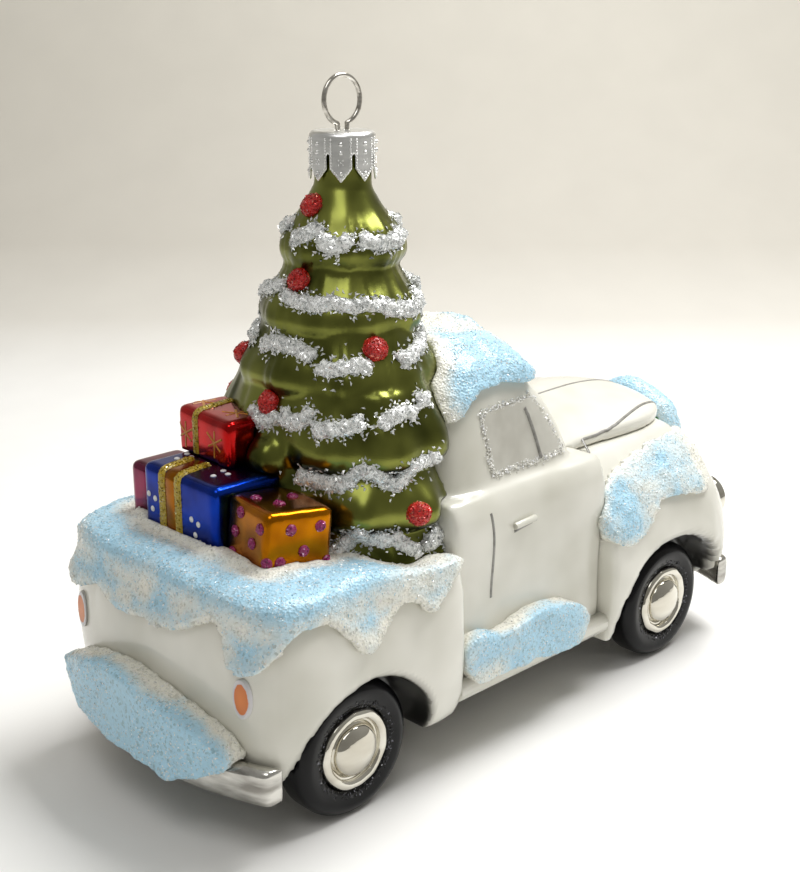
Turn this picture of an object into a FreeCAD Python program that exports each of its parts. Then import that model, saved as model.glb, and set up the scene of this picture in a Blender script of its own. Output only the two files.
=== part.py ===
import FreeCAD, Part
import math
import os
from FreeCAD import Vector

# Blown-glass tree ornament in the form of an old pickup with a decorated
# fir and wrapped gifts in its bed. Millimetres, +X to the nose, +Y to the
# left side, +Z up. The origin is under the middle of the truck, on the
# floor that its four wheels stand on.

# Running gear
WHEELBASE = 80.0
TYRE_RADIUS = 11.3
TYRE_OUTER_Y = 25.8
TYRE_WIDTH = 7.0
TYRE_SHOULDER = 2.2
HUBCAP_RADIUS = 6.9
HUBCAP_SEAT = 1.2
HUBCAP_DOME = 2.6
HUBCAP_DOME_RADIUS = 4.7

# Stations along the truck
TAIL_X = -58.0
BED_FRONT_X = -18.0
COWL_X = 20.5
NOSE_X = 57.5

# Heights
SILL_Z = 9.0
PAN_BOTTOM_Z = 6.5
PAN_TOP_Z = 14.0
FENDER_TOP_Z = 26.0
BED_TOP_Z = 36.5
BED_FLOOR_Z = 31.0
BELT_Z = 45.0
HOOD_SEAT_Z = 43.5
HOOD_CROWN_Z = 49.3
ROOF_Z = 67.5

# Half widths
BED_HALF = 27.6
CAB_HALF = 24.9
NOSE_HALF = 28.0
PAN_HALF = TYRE_OUTER_Y - TYRE_WIDTH
HOOD_HALF = 17.0
BED_WALL = 2.6

# Lamps and grille on the nose
LAMP_Y = 21.3
LAMP_Z = 27.0
LAMP_RIM = 4.3
LAMP_SEAT_DEPTH = 2.0
GRILLE_HALF = 14.0
GRILLE_DEPTH = 3.0
GRILLE_TOP_Z = 38.0

# Wheel arches, centre x and height above the floor, half width and rise
REAR_ARCH = (-39.4, 10.4, 14.2, 12.9)
FRONT_ARCH = (39.0, 10.8, 16.2, 14.2)

# Tree, neck and cap on one vertical axis
TREE_X = -18.6
NECK_RADIUS = 4.6
NECK_BORE = 3.9
NECK_TOP_Z = 101.6
NECK_BORE_DEPTH = 16.0
NECK_FOOT_Z = 91.0
TREE_LOBES = 9
CAP_WALL = 0.3
CAP_CLEARANCE = 0.4
CAP_HEAD_GAP = 0.3
CAP_DRAW = 7.9
CAP_TABS = 8
CAP_SLIT = 0.5
WIRE_RADIUS = 0.4
LOOP_RADIUS = 3.75
LEG_SPREAD = 1.0
LEG_SPRING = 2.9
LEG_LENGTH = 13.5
WIRE_HOLE_CLEARANCE = 0.12

# Snow
SNOW_THICK = 1.3
SNOW_PILE_Z = 41.5

PARTS = {}


def box(x0, x1, y0, y1, z0, z1):
    return Part.makeBox(x1 - x0, y1 - y0, z1 - z0, Vector(x0, y0, z0))


def plan(z, back, front, half, r_back, r_front, bow_back, bow_front):
    """Closed smooth plan outline: rounded corners and bowed ends."""
    pts = []
    for f in (0.0, 0.5, 1.0):
        pts.append((back - bow_back * (1 - f * f), (half - r_back) * f))
    pts.append((back + 0.29 * r_back, half - 0.29 * r_back))
    for f in (0.0, 0.33, 0.67, 1.0):
        pts.append((back + r_back + (front - r_front - back - r_back) * f, half))
    pts.append((front - 0.29 * r_front, half - 0.29 * r_front))
    for f in (1.0, 0.5, 0.0):
        pts.append((front + bow_front * (1 - f * f), (half - r_front) * f))
    ring = [Vector(x, y, z) for x, y in pts]
    ring += [Vector(x, -y, z) for x, y in reversed(pts[1:-1])]
    curve = Part.BSplineCurve()
    curve.interpolate(ring, PeriodicFlag=True)
    return Part.Wire([curve.toShape()])


def loft(sections):
    return Part.makeLoft([plan(*s) for s in sections], True, False)


def prism_xz(points, y0, y1, smooth=()):
    """Side outline pushed across the truck, its smooth run as a curve."""
    return outline_solid(points, smooth, lambda a, b: Vector(a, y0, b), Vector(0, y1 - y0, 0))


def prism_yz(points, x0, x1, smooth=()):
    """Rear outline pushed along the truck, its smooth run as a curve."""
    return outline_solid(points, smooth, lambda a, b: Vector(x0, a, b), Vector(x1 - x0, 0, 0))


def outline_solid(points, smooth, place, push):
    edges = []
    if smooth:
        curve = Part.BSplineCurve()
        curve.interpolate([place(a, b) for a, b in smooth])
        edges.append(curve.toShape())
        points = [smooth[-1]] + list(points) + [smooth[0]]
    else:
        points = list(points) + [points[0]]
    for p, q in zip(points[:-1], points[1:]):
        edges.append(Part.makeLine(place(*p), place(*q)))
    return Part.Face(Part.Wire(edges)).extrude(push)


def both_sides(name, shape):
    """A right-hand piece and its mirror image on the left."""
    PARTS[name + "_right"] = shape
    PARTS[name + "_left"] = shape.mirror(Vector(0, 0, 0), Vector(0, 1, 0))


def arch_cut(arch, grow=0.0, depth=40.0, start=0.0):
    """Elliptic wheel opening, open downwards, cut in from the right side."""
    cx, cz, rx, rz = arch
    hole = Part.makeCylinder(1.0, depth, Vector(0, 0, 0), Vector(0, -1, 0))
    m = FreeCAD.Matrix()
    m.scale(rx + grow, 1.0, rz + grow)
    hole = hole.transformGeometry(m)
    hole.translate(Vector(cx, start, cz))
    skirt = box(cx - rx - grow, cx + rx + grow, start - depth, start, cz - 20.0, cz)
    return hole.fuse(skirt)


# Sections of the three glass bodies, from the sill up
REAR_SECTIONS = [
    (SILL_Z, TAIL_X + 2.5, BED_FRONT_X + 3, BED_HALF - 2.2, 7.0, 4.0, 1.2, 0.0),
    (SILL_Z + 4, TAIL_X + 0.6, BED_FRONT_X + 3, BED_HALF - 0.3, 7.5, 4.0, 1.6, 0.0),
    (SILL_Z + 13, TAIL_X - 0.4, BED_FRONT_X + 3, BED_HALF + 0.5, 7.5, 4.0, 1.8, 0.0),
    (BED_TOP_Z - 5, TAIL_X + 0.2, BED_FRONT_X + 3, BED_HALF, 7.0, 4.0, 1.6, 0.0),
    (BED_TOP_Z, TAIL_X + 1.6, BED_FRONT_X + 3, BED_HALF - 1.2, 6.5, 4.0, 1.2, 0.0),
]

CAB_SECTIONS = [
    (SILL_Z + 2, BED_FRONT_X - 3, COWL_X + 3, CAB_HALF - 0.8, 3.0, 3.0, 0.0, 0.0),
    (SILL_Z + 8, BED_FRONT_X - 3, COWL_X + 3, CAB_HALF, 3.0, 3.0, 0.0, 0.0),
    (BELT_Z - 10, BED_FRONT_X - 3, COWL_X + 3, CAB_HALF + 0.4, 3.0, 3.0, 0.0, 0.0),
    (BELT_Z - 3, BED_FRONT_X - 3, COWL_X + 3, CAB_HALF, 3.0, 3.0, 0.0, 0.0),
    (BELT_Z, BED_FRONT_X - 3, COWL_X + 3, CAB_HALF - 1.6, 3.0, 3.0, 0.0, 0.0),
]

GREENHOUSE_SECTIONS = [
    (BELT_Z - 2, -17.5, 17.8, 22.6, 6.0, 5.0, 0.0, 6.0),
    (BELT_Z + 5, -16.8, 15.4, 21.0, 6.0, 5.0, 0.0, 5.5),
    (BELT_Z + 13, -15.2, 10.6, 19.4, 6.5, 5.5, 0.0, 5.0),
    (BELT_Z + 18.5, -12.6, 6.0, 16.6, 7.0, 6.0, 0.0, 4.6),
    (ROOF_Z, -8.6, 3.2, 11.0, 4.6, 4.6, 0.0, 3.2),
]

NOSE_SECTIONS = [
    (SILL_Z, COWL_X - 3, NOSE_X - 2.5, NOSE_HALF - 1.6, 3.0, 8.0, 0.0, 4.8),
    (SILL_Z + 5, COWL_X - 3, NOSE_X - 0.2, NOSE_HALF - 0.2, 3.0, 9.0, 0.0, 5.4),
    (SILL_Z + 14, COWL_X - 3, NOSE_X + 0.4, NOSE_HALF + 0.4, 3.0, 10.0, 0.0, 4.2),
    (SILL_Z + 22, COWL_X - 3, NOSE_X - 0.8, NOSE_HALF - 0.8, 3.0, 10.0, 0.0, 3.6),
    (SILL_Z + 29, COWL_X - 3, NOSE_X - 3.5, NOSE_HALF - 4.2, 3.0, 9.0, 0.0, 4.2),
    (HOOD_SEAT_Z, COWL_X - 3, NOSE_X - 5.5, HOOD_HALF + 1.5, 3.0, 8.0, 0.0, 5.2),
]


def snow_shell(sections, grow, z0, z1):
    """The same body a little larger, as the outside of the snow on it."""
    out = []
    for z, back, front, half, rb, rf, bb, bf in sections:
        out.append((z, back - grow, front + grow, half + grow, rb, rf, bb, bf))
    solid = loft(out)
    return solid.common(box(-90, 90, -60, 60, z0, z1))


def dome_middle(radius, height):
    """Radius and drop of the point half way along a round dome's profile."""
    ball = (radius * radius + height * height) / (2 * height)
    angle = 0.5 * math.asin(radius / ball)
    return ball * math.sin(angle), ball * (1 - math.cos(angle))


def wheel(x, side):
    """Moulded tyre and its stepped, domed hubcap, turned about the axle."""
    inner = PAN_HALF
    outer = TYRE_OUTER_Y
    seat = outer - HUBCAP_SEAT
    r = TYRE_RADIUS
    s = TYRE_SHOULDER
    k = 0.3
    tyre_edges = [
        Part.makeLine(Vector(0, inner, 0), Vector(r - s, inner, 0)),
        Part.Arc(Vector(r - s, inner, 0), Vector(r - k * s, inner + k * s, 0), Vector(r, inner + s, 0)).toShape(),
        Part.makeLine(Vector(r, inner + s, 0), Vector(r, outer - s, 0)),
        Part.Arc(Vector(r, outer - s, 0), Vector(r - k * s, outer - k * s, 0), Vector(r - s, outer, 0)).toShape(),
        Part.makeLine(Vector(r - s, outer, 0), Vector(HUBCAP_RADIUS, outer - 0.5, 0)),
        Part.makeLine(Vector(HUBCAP_RADIUS, outer - 0.5, 0), Vector(HUBCAP_RADIUS, seat, 0)),
        Part.makeLine(Vector(HUBCAP_RADIUS, seat, 0), Vector(0, seat, 0)),
        Part.makeLine(Vector(0, seat, 0), Vector(0, inner, 0)),
    ]
    d = HUBCAP_DOME_RADIUS
    rim = outer - 0.1
    top = seat + HUBCAP_DOME
    mid_r, mid_drop = dome_middle(d, top - rim + 0.3)
    cap_edges = [
        Part.makeLine(Vector(0, seat, 0), Vector(HUBCAP_RADIUS, seat, 0)),
        Part.makeLine(Vector(HUBCAP_RADIUS, seat, 0), Vector(HUBCAP_RADIUS, rim, 0)),
        Part.makeLine(Vector(HUBCAP_RADIUS, rim, 0), Vector(d + 1.2, rim + 0.5, 0)),
        Part.makeLine(Vector(d + 1.2, rim + 0.5, 0), Vector(d, rim - 0.3, 0)),
        Part.Arc(Vector(d, rim - 0.3, 0), Vector(mid_r, top - mid_drop, 0), Vector(0, top, 0)).toShape(),
        Part.makeLine(Vector(0, top, 0), Vector(0, seat, 0)),
    ]
    out = []
    for edges in (tyre_edges, cap_edges):
        face = Part.Face(Part.Wire(edges))
        solid = face.revolve(Vector(0, 0, 0), Vector(0, 1, 0), 360)
        solid.translate(Vector(x, 0, TYRE_RADIUS))
        if side < 0:
            solid = solid.mirror(Vector(0, 0, 0), Vector(0, 1, 0))
        out.append(solid)
    return out


def make_wheels():
    for end, x in (("rear", -WHEELBASE / 2), ("front", WHEELBASE / 2)):
        for hand, side in (("right", -1), ("left", 1)):
            tyre, cap = wheel(x, side)
            PARTS["tyre_%s_%s" % (end, hand)] = tyre
            PARTS["hubcap_%s_%s" % (end, hand)] = cap


def make_bed():
    hull = loft(REAR_SECTIONS).common(box(-90, BED_FRONT_X, -60, 60, 0, BED_TOP_Z))
    fender_zone = box(-90, BED_FRONT_X, -60, -PAN_HALF, 0, FENDER_TOP_Z)
    fender = hull.common(fender_zone).cut(arch_cut(REAR_ARCH))
    both_sides("rear_fender", fender)
    middle = box(-90, BED_FRONT_X, -PAN_HALF, PAN_HALF, PAN_TOP_Z, FENDER_TOP_Z)
    upper = box(-90, BED_FRONT_X, -60, 60, FENDER_TOP_Z, BED_TOP_Z)
    load = bed_recess()
    tail_panel = tailgate_groove()
    PARTS["bed"] = hull.common(middle.fuse(upper)).cut(load).cut(tail_panel)
    return hull


def bed_recess():
    x0 = TAIL_X + BED_WALL + 3.0
    x1 = BED_FRONT_X - BED_WALL
    half = BED_HALF - BED_WALL - 2.2
    solid = box(x0, x1, -half, half, BED_FLOOR_Z, BED_TOP_Z)
    upright = [e for e in solid.Edges if abs(e.BoundBox.ZLength - (BED_TOP_Z - BED_FLOOR_Z)) < 1e-6]
    return solid.makeFillet(4.0, upright)


def tailgate_groove():
    """Shallow groove that draws the tailgate on the rear face."""
    half = 17.0
    low = 17.0
    wide = 0.7
    ring = box(-70, -40, -half, half, low, BED_TOP_Z + 5)
    inside = box(-70, -40, -half + wide, half - wide, low + wide, BED_TOP_Z + 6)
    skin = snow_shell(REAR_SECTIONS, -0.4, 0, BED_TOP_Z + 1)
    return ring.cut(inside).cut(skin).common(box(-70, -50, -30, 30, PAN_TOP_Z, BED_TOP_Z))


def make_cab():
    lower = loft(CAB_SECTIONS).common(box(BED_FRONT_X, COWL_X, -60, 60, 0, BELT_Z))
    lower = lower.cut(box(-60, 60, -PAN_HALF, PAN_HALF, 0, PAN_TOP_Z))
    upper = loft(GREENHOUSE_SECTIONS).common(box(-60, 60, -60, 60, BELT_Z, 99))
    cab = lower.cut(door_grooves()).fuse(cut_all(upper, make_panes(upper)))
    PARTS["cab"] = cab
    return lower.fuse(upper)


WINDOW_OUTLINE = [(-6.6, 57.0), (6.0, 57.6), (12.6, 47.4), (-5.2, 47.0)]
WINDOW_DEPTH = 0.5
WINDSCREEN_OUTLINE = [(-13.0, 60.0), (13.0, 60.0), (15.5, 51.0), (-15.5, 51.0)]


def inlay(body, outline, deeper):
    """Thin skin of a body inside an outline, as deep as the body is moved."""
    core = body.copy()
    core.translate(deeper)
    return biggest(body.common(outline).cut(core))


def make_panes(upper):
    """Side windows and windscreen, each a thin inlay of the upper cab."""
    side = inlay(upper, prism_xz(WINDOW_OUTLINE, -60, -10), Vector(0, WINDOW_DEPTH, 0))
    both_sides("side_window", side)
    screen = inlay(upper, prism_yz(WINDSCREEN_OUTLINE, 4, 60), Vector(-WINDOW_DEPTH, 0, 0))
    PARTS["windscreen"] = screen
    return [PARTS["side_window_right"], PARTS["side_window_left"], screen]


def door_grooves():
    """Rear and front shut lines of the two doors, cut into the cab sides."""
    w = 0.35
    rear = [(-9.8, 44.0), (-9.2, 30.0), (-8.7, 19.0)]
    front = [(14.0, 44.0), (15.0, 30.0), (15.6, 19.0)]
    cuts = []
    for line in (rear, front):
        shape = [(x - w, z) for x, z in line] + [(x + w, z) for x, z in reversed(line)]
        for y0, y1 in ((-60, -CAB_HALF + 0.3), (CAB_HALF - 0.3, 60)):
            cuts.append(prism_xz(shape, y0, y1))
    return cuts[0].multiFuse(cuts[1:])


def make_handles():
    length = 5.0
    handle = Part.makeCylinder(0.55, length, Vector(-4.2, -CAB_HALF - 0.75, 38.6), Vector(1, 0, 0.05))
    both_sides("door_handle", handle.cut(loft(CAB_SECTIONS)))


def hood_section(x, half, seat, edge, crown):
    """Arched cross-section of the hood with a low crease on its centre."""
    a = Part.BSplineCurve()
    a.interpolate([Vector(x, -half, edge), Vector(x, -half * 0.55, edge + (crown - edge) * 0.72), Vector(x, 0, crown)])
    b = Part.BSplineCurve()
    b.interpolate([Vector(x, 0, crown), Vector(x, half * 0.55, edge + (crown - edge) * 0.72), Vector(x, half, edge)])
    lines = [
        Part.makeLine(Vector(x, half, edge), Vector(x, half, seat)),
        Part.makeLine(Vector(x, half, seat), Vector(x, -half, seat)),
        Part.makeLine(Vector(x, -half, seat), Vector(x, -half, edge)),
    ]
    return Part.Wire([a.toShape(), b.toShape()] + lines)


def make_front(cab):
    hull = loft(NOSE_SECTIONS).common(box(COWL_X, 90, -60, 60, 0, HOOD_SEAT_Z))
    side = box(COWL_X, 90, -60, -PAN_HALF + 2.0, 0, 60)
    fender = hull.common(side).cut(arch_cut(FRONT_ARCH, start=-PAN_HALF))
    core = box(COWL_X, 90, -PAN_HALF + 2.0, PAN_HALF - 2.0, PAN_TOP_Z, HOOD_SEAT_Z)
    fender = fender.cut(box(COWL_X, 90, -PAN_HALF, PAN_HALF, 0, PAN_TOP_Z)).cut(cab)
    lamp_seat = Part.makeCylinder(LAMP_RIM, 20, Vector(NOSE_X - LAMP_SEAT_DEPTH, -LAMP_Y, LAMP_Z), Vector(1, 0, 0))
    both_sides("front_fender", fender.cut(lamp_seat))
    grille_zone = box(NOSE_X - GRILLE_DEPTH, 90, -GRILLE_HALF, GRILLE_HALF, PAN_TOP_Z, GRILLE_TOP_Z)
    PARTS["nose_panel"] = hull.common(core).cut(grille_zone).cut(cab)
    make_grille(hull.common(grille_zone))
    make_headlamps()
    sections = [
        (COWL_X - 2.5, HOOD_HALF + 0.5, HOOD_SEAT_Z, 45.2, HOOD_CROWN_Z + 0.2),
        (34.0, HOOD_HALF, HOOD_SEAT_Z, 45.8, HOOD_CROWN_Z),
        (48.0, HOOD_HALF - 1.5, HOOD_SEAT_Z, 45.8, HOOD_CROWN_Z - 0.5),
        (NOSE_X - 1.5, 8.0, HOOD_SEAT_Z, 44.9, HOOD_CROWN_Z - 3.0),
    ]
    hood = Part.makeLoft([hood_section(*s) for s in sections], True, False)
    PARTS["hood"] = hood.cut(cab)
    return hull


def make_grille(blank):
    """Grille front with open slots between its moulded bars."""
    z = PAN_TOP_Z + 3.5
    while z < GRILLE_TOP_Z - 2.0:
        slot = box(NOSE_X + 1.0, 90, -GRILLE_HALF + 2.0, GRILLE_HALF - 2.0, z, z + 1.1)
        blank = blank.cut(slot)
        z += 2.6
    PARTS["grille"] = blank


def make_headlamps():
    """Domed lens in a raised rim, seated in the front fender."""
    rim = LAMP_RIM
    lens = rim - 1.0
    mid_r, mid_drop = dome_middle(lens, 1.3)
    edges = [
        Part.makeLine(Vector(0, 0, 0), Vector(rim, 0, 0)),
        Part.makeLine(Vector(rim, 0, 0), Vector(rim, 3.6, 0)),
        Part.makeLine(Vector(rim, 3.6, 0), Vector(lens + 0.3, 4.6, 0)),
        Part.makeLine(Vector(lens + 0.3, 4.6, 0), Vector(lens, 4.0, 0)),
        Part.Arc(Vector(lens, 4.0, 0), Vector(mid_r, 5.3 - mid_drop, 0), Vector(0, 5.3, 0)).toShape(),
        Part.makeLine(Vector(0, 5.3, 0), Vector(0, 0, 0)),
    ]
    lamp = Part.Face(Part.Wire(edges)).revolve(Vector(0, 0, 0), Vector(0, 1, 0), 360)
    lamp.rotate(Vector(0, 0, 0), Vector(0, 0, 1), -90)
    lamp.translate(Vector(NOSE_X - LAMP_SEAT_DEPTH, -LAMP_Y, LAMP_Z))
    both_sides("headlamp", lamp)


def bumper(end_x, bow, z0, z1, depth, half, sign):
    """Bowed bar with rounded edges; sign -1 is the tail, +1 the nose."""
    outer = Part.Arc(Vector(end_x, -half, z0), Vector(end_x + sign * bow, 0, z0), Vector(end_x, half, z0)).toShape()
    e = end_x - sign * depth
    inner = Part.Arc(Vector(e, half, z0), Vector(e + sign * bow, 0, z0), Vector(e, -half, z0)).toShape()
    l1 = Part.makeLine(Vector(end_x, half, z0), Vector(e, half, z0))
    l2 = Part.makeLine(Vector(e, -half, z0), Vector(end_x, -half, z0))
    bar = Part.Face(Part.Wire([outer, l1, inner, l2])).extrude(Vector(0, 0, z1 - z0))
    long_edges = [k for k in bar.Edges if k.Length > half and abs(k.BoundBox.XMin * sign) > 0]
    front = [k for k in long_edges if (k.BoundBox.Center.x - (end_x + sign * bow / 2)) * sign > -depth / 2]
    return bar.makeFillet(1.1, front)


BUMPER_HALF = 27.0
BUMPER_DEPTH = 3.4
BUMPER_BOW = 6.0
BUMPER_SNOW = 1.2
BUMPER_LOW_Z = 9.2
BUMPER_HIGH_Z = 15.6
TAIL_REACH = -TAIL_X + 0.6 + BUMPER_BOW + BUMPER_SNOW


def make_bumpers(hull, nose):
    rear = bumper(TAIL_X - 0.6, BUMPER_BOW, BUMPER_LOW_Z, BUMPER_HIGH_Z, BUMPER_DEPTH, BUMPER_HALF, -1)
    front = bumper(TAIL_REACH - BUMPER_BOW, BUMPER_BOW, BUMPER_LOW_Z, BUMPER_HIGH_Z, BUMPER_DEPTH, BUMPER_HALF, 1)
    pan = box(TAIL_X, NOSE_X, -PAN_HALF, PAN_HALF, PAN_BOTTOM_Z, PAN_TOP_Z)
    for name, bar, x in (("rear_bumper", rear, -1), ("front_bumper", front, 1)):
        body = hull if x < 0 else nose
        PARTS[name] = bar.cut(body).cut(pan)


def make_underbody():
    pan = box(TAIL_X + 2.0, NOSE_X - 1.0, -PAN_HALF, PAN_HALF, PAN_BOTTOM_Z, PAN_TOP_Z)
    low = [e for e in pan.Edges if e.BoundBox.ZMax < PAN_BOTTOM_Z + 0.01]
    pan = pan.makeFillet(2.0, low)
    PARTS["underbody"] = pan


def make_tail_lamps(hull):
    lamp = Part.makeCylinder(1.0, 3.0, Vector(TAIL_X - 1.6, 0, 0), Vector(1, 0, 0))
    m = FreeCAD.Matrix()
    m.scale(1.0, 1.7, 3.2)
    lamp = lamp.transformGeometry(m)
    lamp.translate(Vector(0, -21.6, 25.4))
    both_sides("tail_lamp", lamp.cut(hull))


def make_running_boards():
    x0 = BED_FRONT_X + 0.0
    board = box(x0, COWL_X, -27.2, -CAB_HALF + 2.5, 11.6, 15.0)
    rim = [e for e in board.Edges if e.BoundBox.YMax < -27.0 and e.BoundBox.XLength > 10]
    board = board.makeFillet(1.2, rim)
    both_sides("running_board", board.cut(loft(CAB_SECTIONS)))


# Top of the snow in the bed, falling from the gifts towards the cab
SNOW_FALL = [
    (-90, SNOW_PILE_Z + 1.0), (-56, SNOW_PILE_Z + 0.6), (-46, SNOW_PILE_Z), (-38, SNOW_PILE_Z - 1.2),
    (-29, SNOW_PILE_Z - 3.0), (-22, BED_TOP_Z + 1.3), (0, BED_TOP_Z + 1.0),
]


def make_bed_snow(hull, cab, tree, gifts):
    """Snow heaped in the bed, lapping over its rim in rounded drips."""
    top = BED_TOP_Z
    grow = SNOW_THICK
    sections = []
    for z, back, front, half, rb, rf, bb, bf in REAR_SECTIONS[1:]:
        sections.append((z, back - grow, front, half + grow, rb, rf, bb, bf))
    sections += [
        (top + 2.4, TAIL_X + 2.0 - grow, BED_FRONT_X + 3, BED_HALF - 1.5 + grow, 6.5, 4.0, 1.2, 0.0),
        (SNOW_PILE_Z - 1.0, TAIL_X + 4.0, BED_FRONT_X + 3, BED_HALF - 3.0, 6.5, 4.0, 1.0, 0.0),
        (SNOW_PILE_Z, TAIL_X + 8.0, BED_FRONT_X + 3, BED_HALF - 7.0, 6.5, 4.0, 1.0, 0.0),
    ]
    snow = loft(sections).common(box(-90, BED_FRONT_X, -60, 60, FENDER_TOP_Z, 60)).cut(hull)
    side_low = [(-90, 0), (0, 0)]
    side_line = [
        (0, 36.4), (-19.5, 36.0), (-24.1, 32.4), (-27.0, 31.6), (-29.6, 33.6), (-34.9, 32.2), (-40.0, 28.9),
        (-43.9, 32.6), (-47.5, 35.6), (-52.4, 35.4), (-54.8, 33.6), (-90, 33.4),
    ]
    side_cut = prism_xz(side_low, -60, 60, smooth=side_line).common(box(-54.5, 0, -60, 60, 0, 60))
    rear_low = [(40, 0), (-40, 0)]
    rear_line = [
        (-40, 33.4), (-27.0, 33.2), (-24.5, 30.4), (-21.3, 29.5), (-18.4, 31.4), (-15.5, 35.0), (-11.0, 33.4),
        (-4.0, 31.2), (4.0, 30.7), (10.0, 31.0), (14.5, 32.0), (18.5, 31.0), (22.0, 29.9), (25.0, 31.2), (40, 33.4),
    ]
    rear_cut = prism_yz(rear_low, -90, -54.5, smooth=rear_line)
    inner = box(-54.5, BED_FRONT_X, -BED_HALF + 5, BED_HALF - 5, 0, 60)
    fall = prism_xz([(0, 70), (-90, 70)], -60, 60, smooth=SNOW_FALL)
    snow = snow.cut(side_cut.cut(inner)).cut(rear_cut).cut(fall)
    PARTS["bed_snow"] = biggest(cut_all(snow, [cab, tree] + gifts))


def cut_all(shape, tools):
    for tool in tools:
        shape = shape.cut(tool)
    return shape


def make_roof_snow(cab):
    shell = []
    for z, back, front, half, rb, rf, bb, bf in GREENHOUSE_SECTIONS:
        g = SNOW_THICK
        shell.append((z + g, back - g, front + g, half + g, rb, rf, bb, bf))
    outer = loft(shell[1:])
    edge = [
        (-30, 57.0), (-17.0, 57.0), (-12.0, 57.6), (-8.5, 60.4), (-4.0, 61.4), (1.5, 61.2), (6.0, 60.6),
        (10.0, 62.4), (16.0, 63.4), (40, 64.0),
    ]
    keep = prism_xz([(40, 90), (-30, 90)], -60, 60, smooth=edge)
    snow = outer.common(keep)
    return snow.cut(cab)


def blob(points, place, push):
    """Solid with a closed smooth outline, as a patch of snow seen flat."""
    curve = Part.BSplineCurve()
    curve.interpolate([place(a, b) for a, b in points], PeriodicFlag=True)
    first, last = curve.FirstParameter, curve.LastParameter
    middle = 0.5 * (first + last)
    wire = Part.Wire([curve.toShape(first, middle), curve.toShape(middle, last)])
    return Part.Face(wire).extrude(push)


def make_fender_snow(nose, cab):
    g = SNOW_THICK
    outer = []
    for z, back, front, half, rb, rf, bb, bf in NOSE_SECTIONS:
        outer.append((z, back, front + g, half + g, rb, rf, bb, bf))
    outline = [
        (20.6, 29.2), (18.4, 33.4), (20.6, 38.0), (28.0, 41.0), (38.0, 42.4), (48.0, 42.8), (53.2, 41.0), (53.8, 37.0),
        (51.5, 33.4), (46.0, 32.4), (39.0, 33.4), (33.5, 32.4), (29.0, 29.0), (24.5, 28.2),
    ]
    keep = blob(outline, lambda x, z: Vector(x, -60, z), Vector(0, 60 - HOOD_HALF - 1.0, 0))
    snow = keep.common(loft(outer)).cut(nose).cut(cab)
    both_sides("front_fender_snow", biggest(snow))


def biggest(shape):
    return max(shape.Solids, key=lambda s: s.Volume)


def make_board_snow(cab):
    outline = [
        (-17.1, 17.0), (-17.1, 22.4), (-14.6, 23.2), (-8.9, 21.6), (-4.0, 22.3), (3.9, 22.6), (11.2, 20.6),
        (13.6, 17.6), (12.4, 14.2), (3.0, 13.6), (-8.7, 14.2), (-15.6, 14.6),
    ]
    slab = blob(outline, lambda x, z: Vector(x, -28.6, z), Vector(0, 4.6, 0))
    slab = cut_all(slab, [loft(CAB_SECTIONS), PARTS["running_board_right"], PARTS["rear_fender_right"]])
    slab = slab.cut(PARTS["front_fender_right"])
    both_sides("running_board_snow", biggest(slab))


def make_bumper_snow(hull):
    outline = [
        (20.5, 19.1), (13.9, 21.6), (4.0, 23.4), (-7.3, 22.6), (-14.8, 20.8), (-20.0, 18.6), (-21.8, 16.0),
        (-17.8, 12.6), (-8.7, 9.4), (5.6, 7.8), (14.6, 8.0), (19.4, 9.6), (22.0, 14.0),
    ]
    block = blob(outline, lambda y, z: Vector(-70, y, z), Vector(25, 0, 0))
    lump = bumper(TAIL_X - 0.6 - BUMPER_SNOW, BUMPER_BOW, 5.0, 24.5, 12.0, 30.0, -1)
    snow = block.common(lump).cut(hull).cut(PARTS["rear_bumper"]).cut(PARTS["underbody"])
    PARTS["rear_bumper_snow"] = biggest(snow)


TIERS = [
    # top, foot, radius at the top, half length, half width, shift in x, depth of the lobes
    (93.9, 81.2, NECK_RADIUS - 0.3, 10.1, 10.3, -0.2, 0.012),
    (82.6, 71.0, 8.2, 13.3, 13.6, -0.6, 0.020),
    (72.4, 62.2, 11.2, 14.8, 17.4, -1.7, 0.025),
    (63.6, 52.0, 12.6, 15.4, 22.4, -2.9, 0.030),
    (53.4, 42.6, 12.8, 15.8, 23.6, -3.4, 0.050),
    (45.0, 33.6, 13.2, 16.0, 23.8, -3.6, 0.055),
]

# Drop down a tier and how far it has flared, from its top to its tucked foot
TIER_PROFILE = [(0.0, 0.0), (0.24, 0.32), (0.5, 0.76), (0.74, 1.0), (0.9, 0.94), (1.0, 0.70)]

# A round bough that stands out beside the red gift
BUD = (-36.3, -1.5, 52.3, 3.7)


def tree_ring(z, cx, rx, ry, depth, turn):
    """Level ring of a tier, waved by its boughs."""
    points = []
    count = TREE_LOBES * 4
    for i in range(count):
        a = 2 * math.pi * i / count
        k = 1 + depth * math.cos(TREE_LOBES * (a - turn))
        points.append(Vector(cx + rx * k * math.cos(a), ry * k * math.sin(a), z))
    curve = Part.BSplineCurve()
    curve.interpolate(points, PeriodicFlag=True)
    return Part.Wire([curve.toShape()])


def make_tier(top, foot, radius, rx, ry, shift, depth, turn):
    """One tier of boughs: flares from its top, rolls over and tucks in."""
    wires = []
    for drop, flare in TIER_PROFILE:
        k = radius / rx + (1 - radius / rx) * flare
        wires.append(tree_ring(top - (top - foot) * drop, TREE_X + shift, rx * k, ry * k, depth * flare, turn))
    return Part.makeLoft(wires, True, False)


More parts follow.
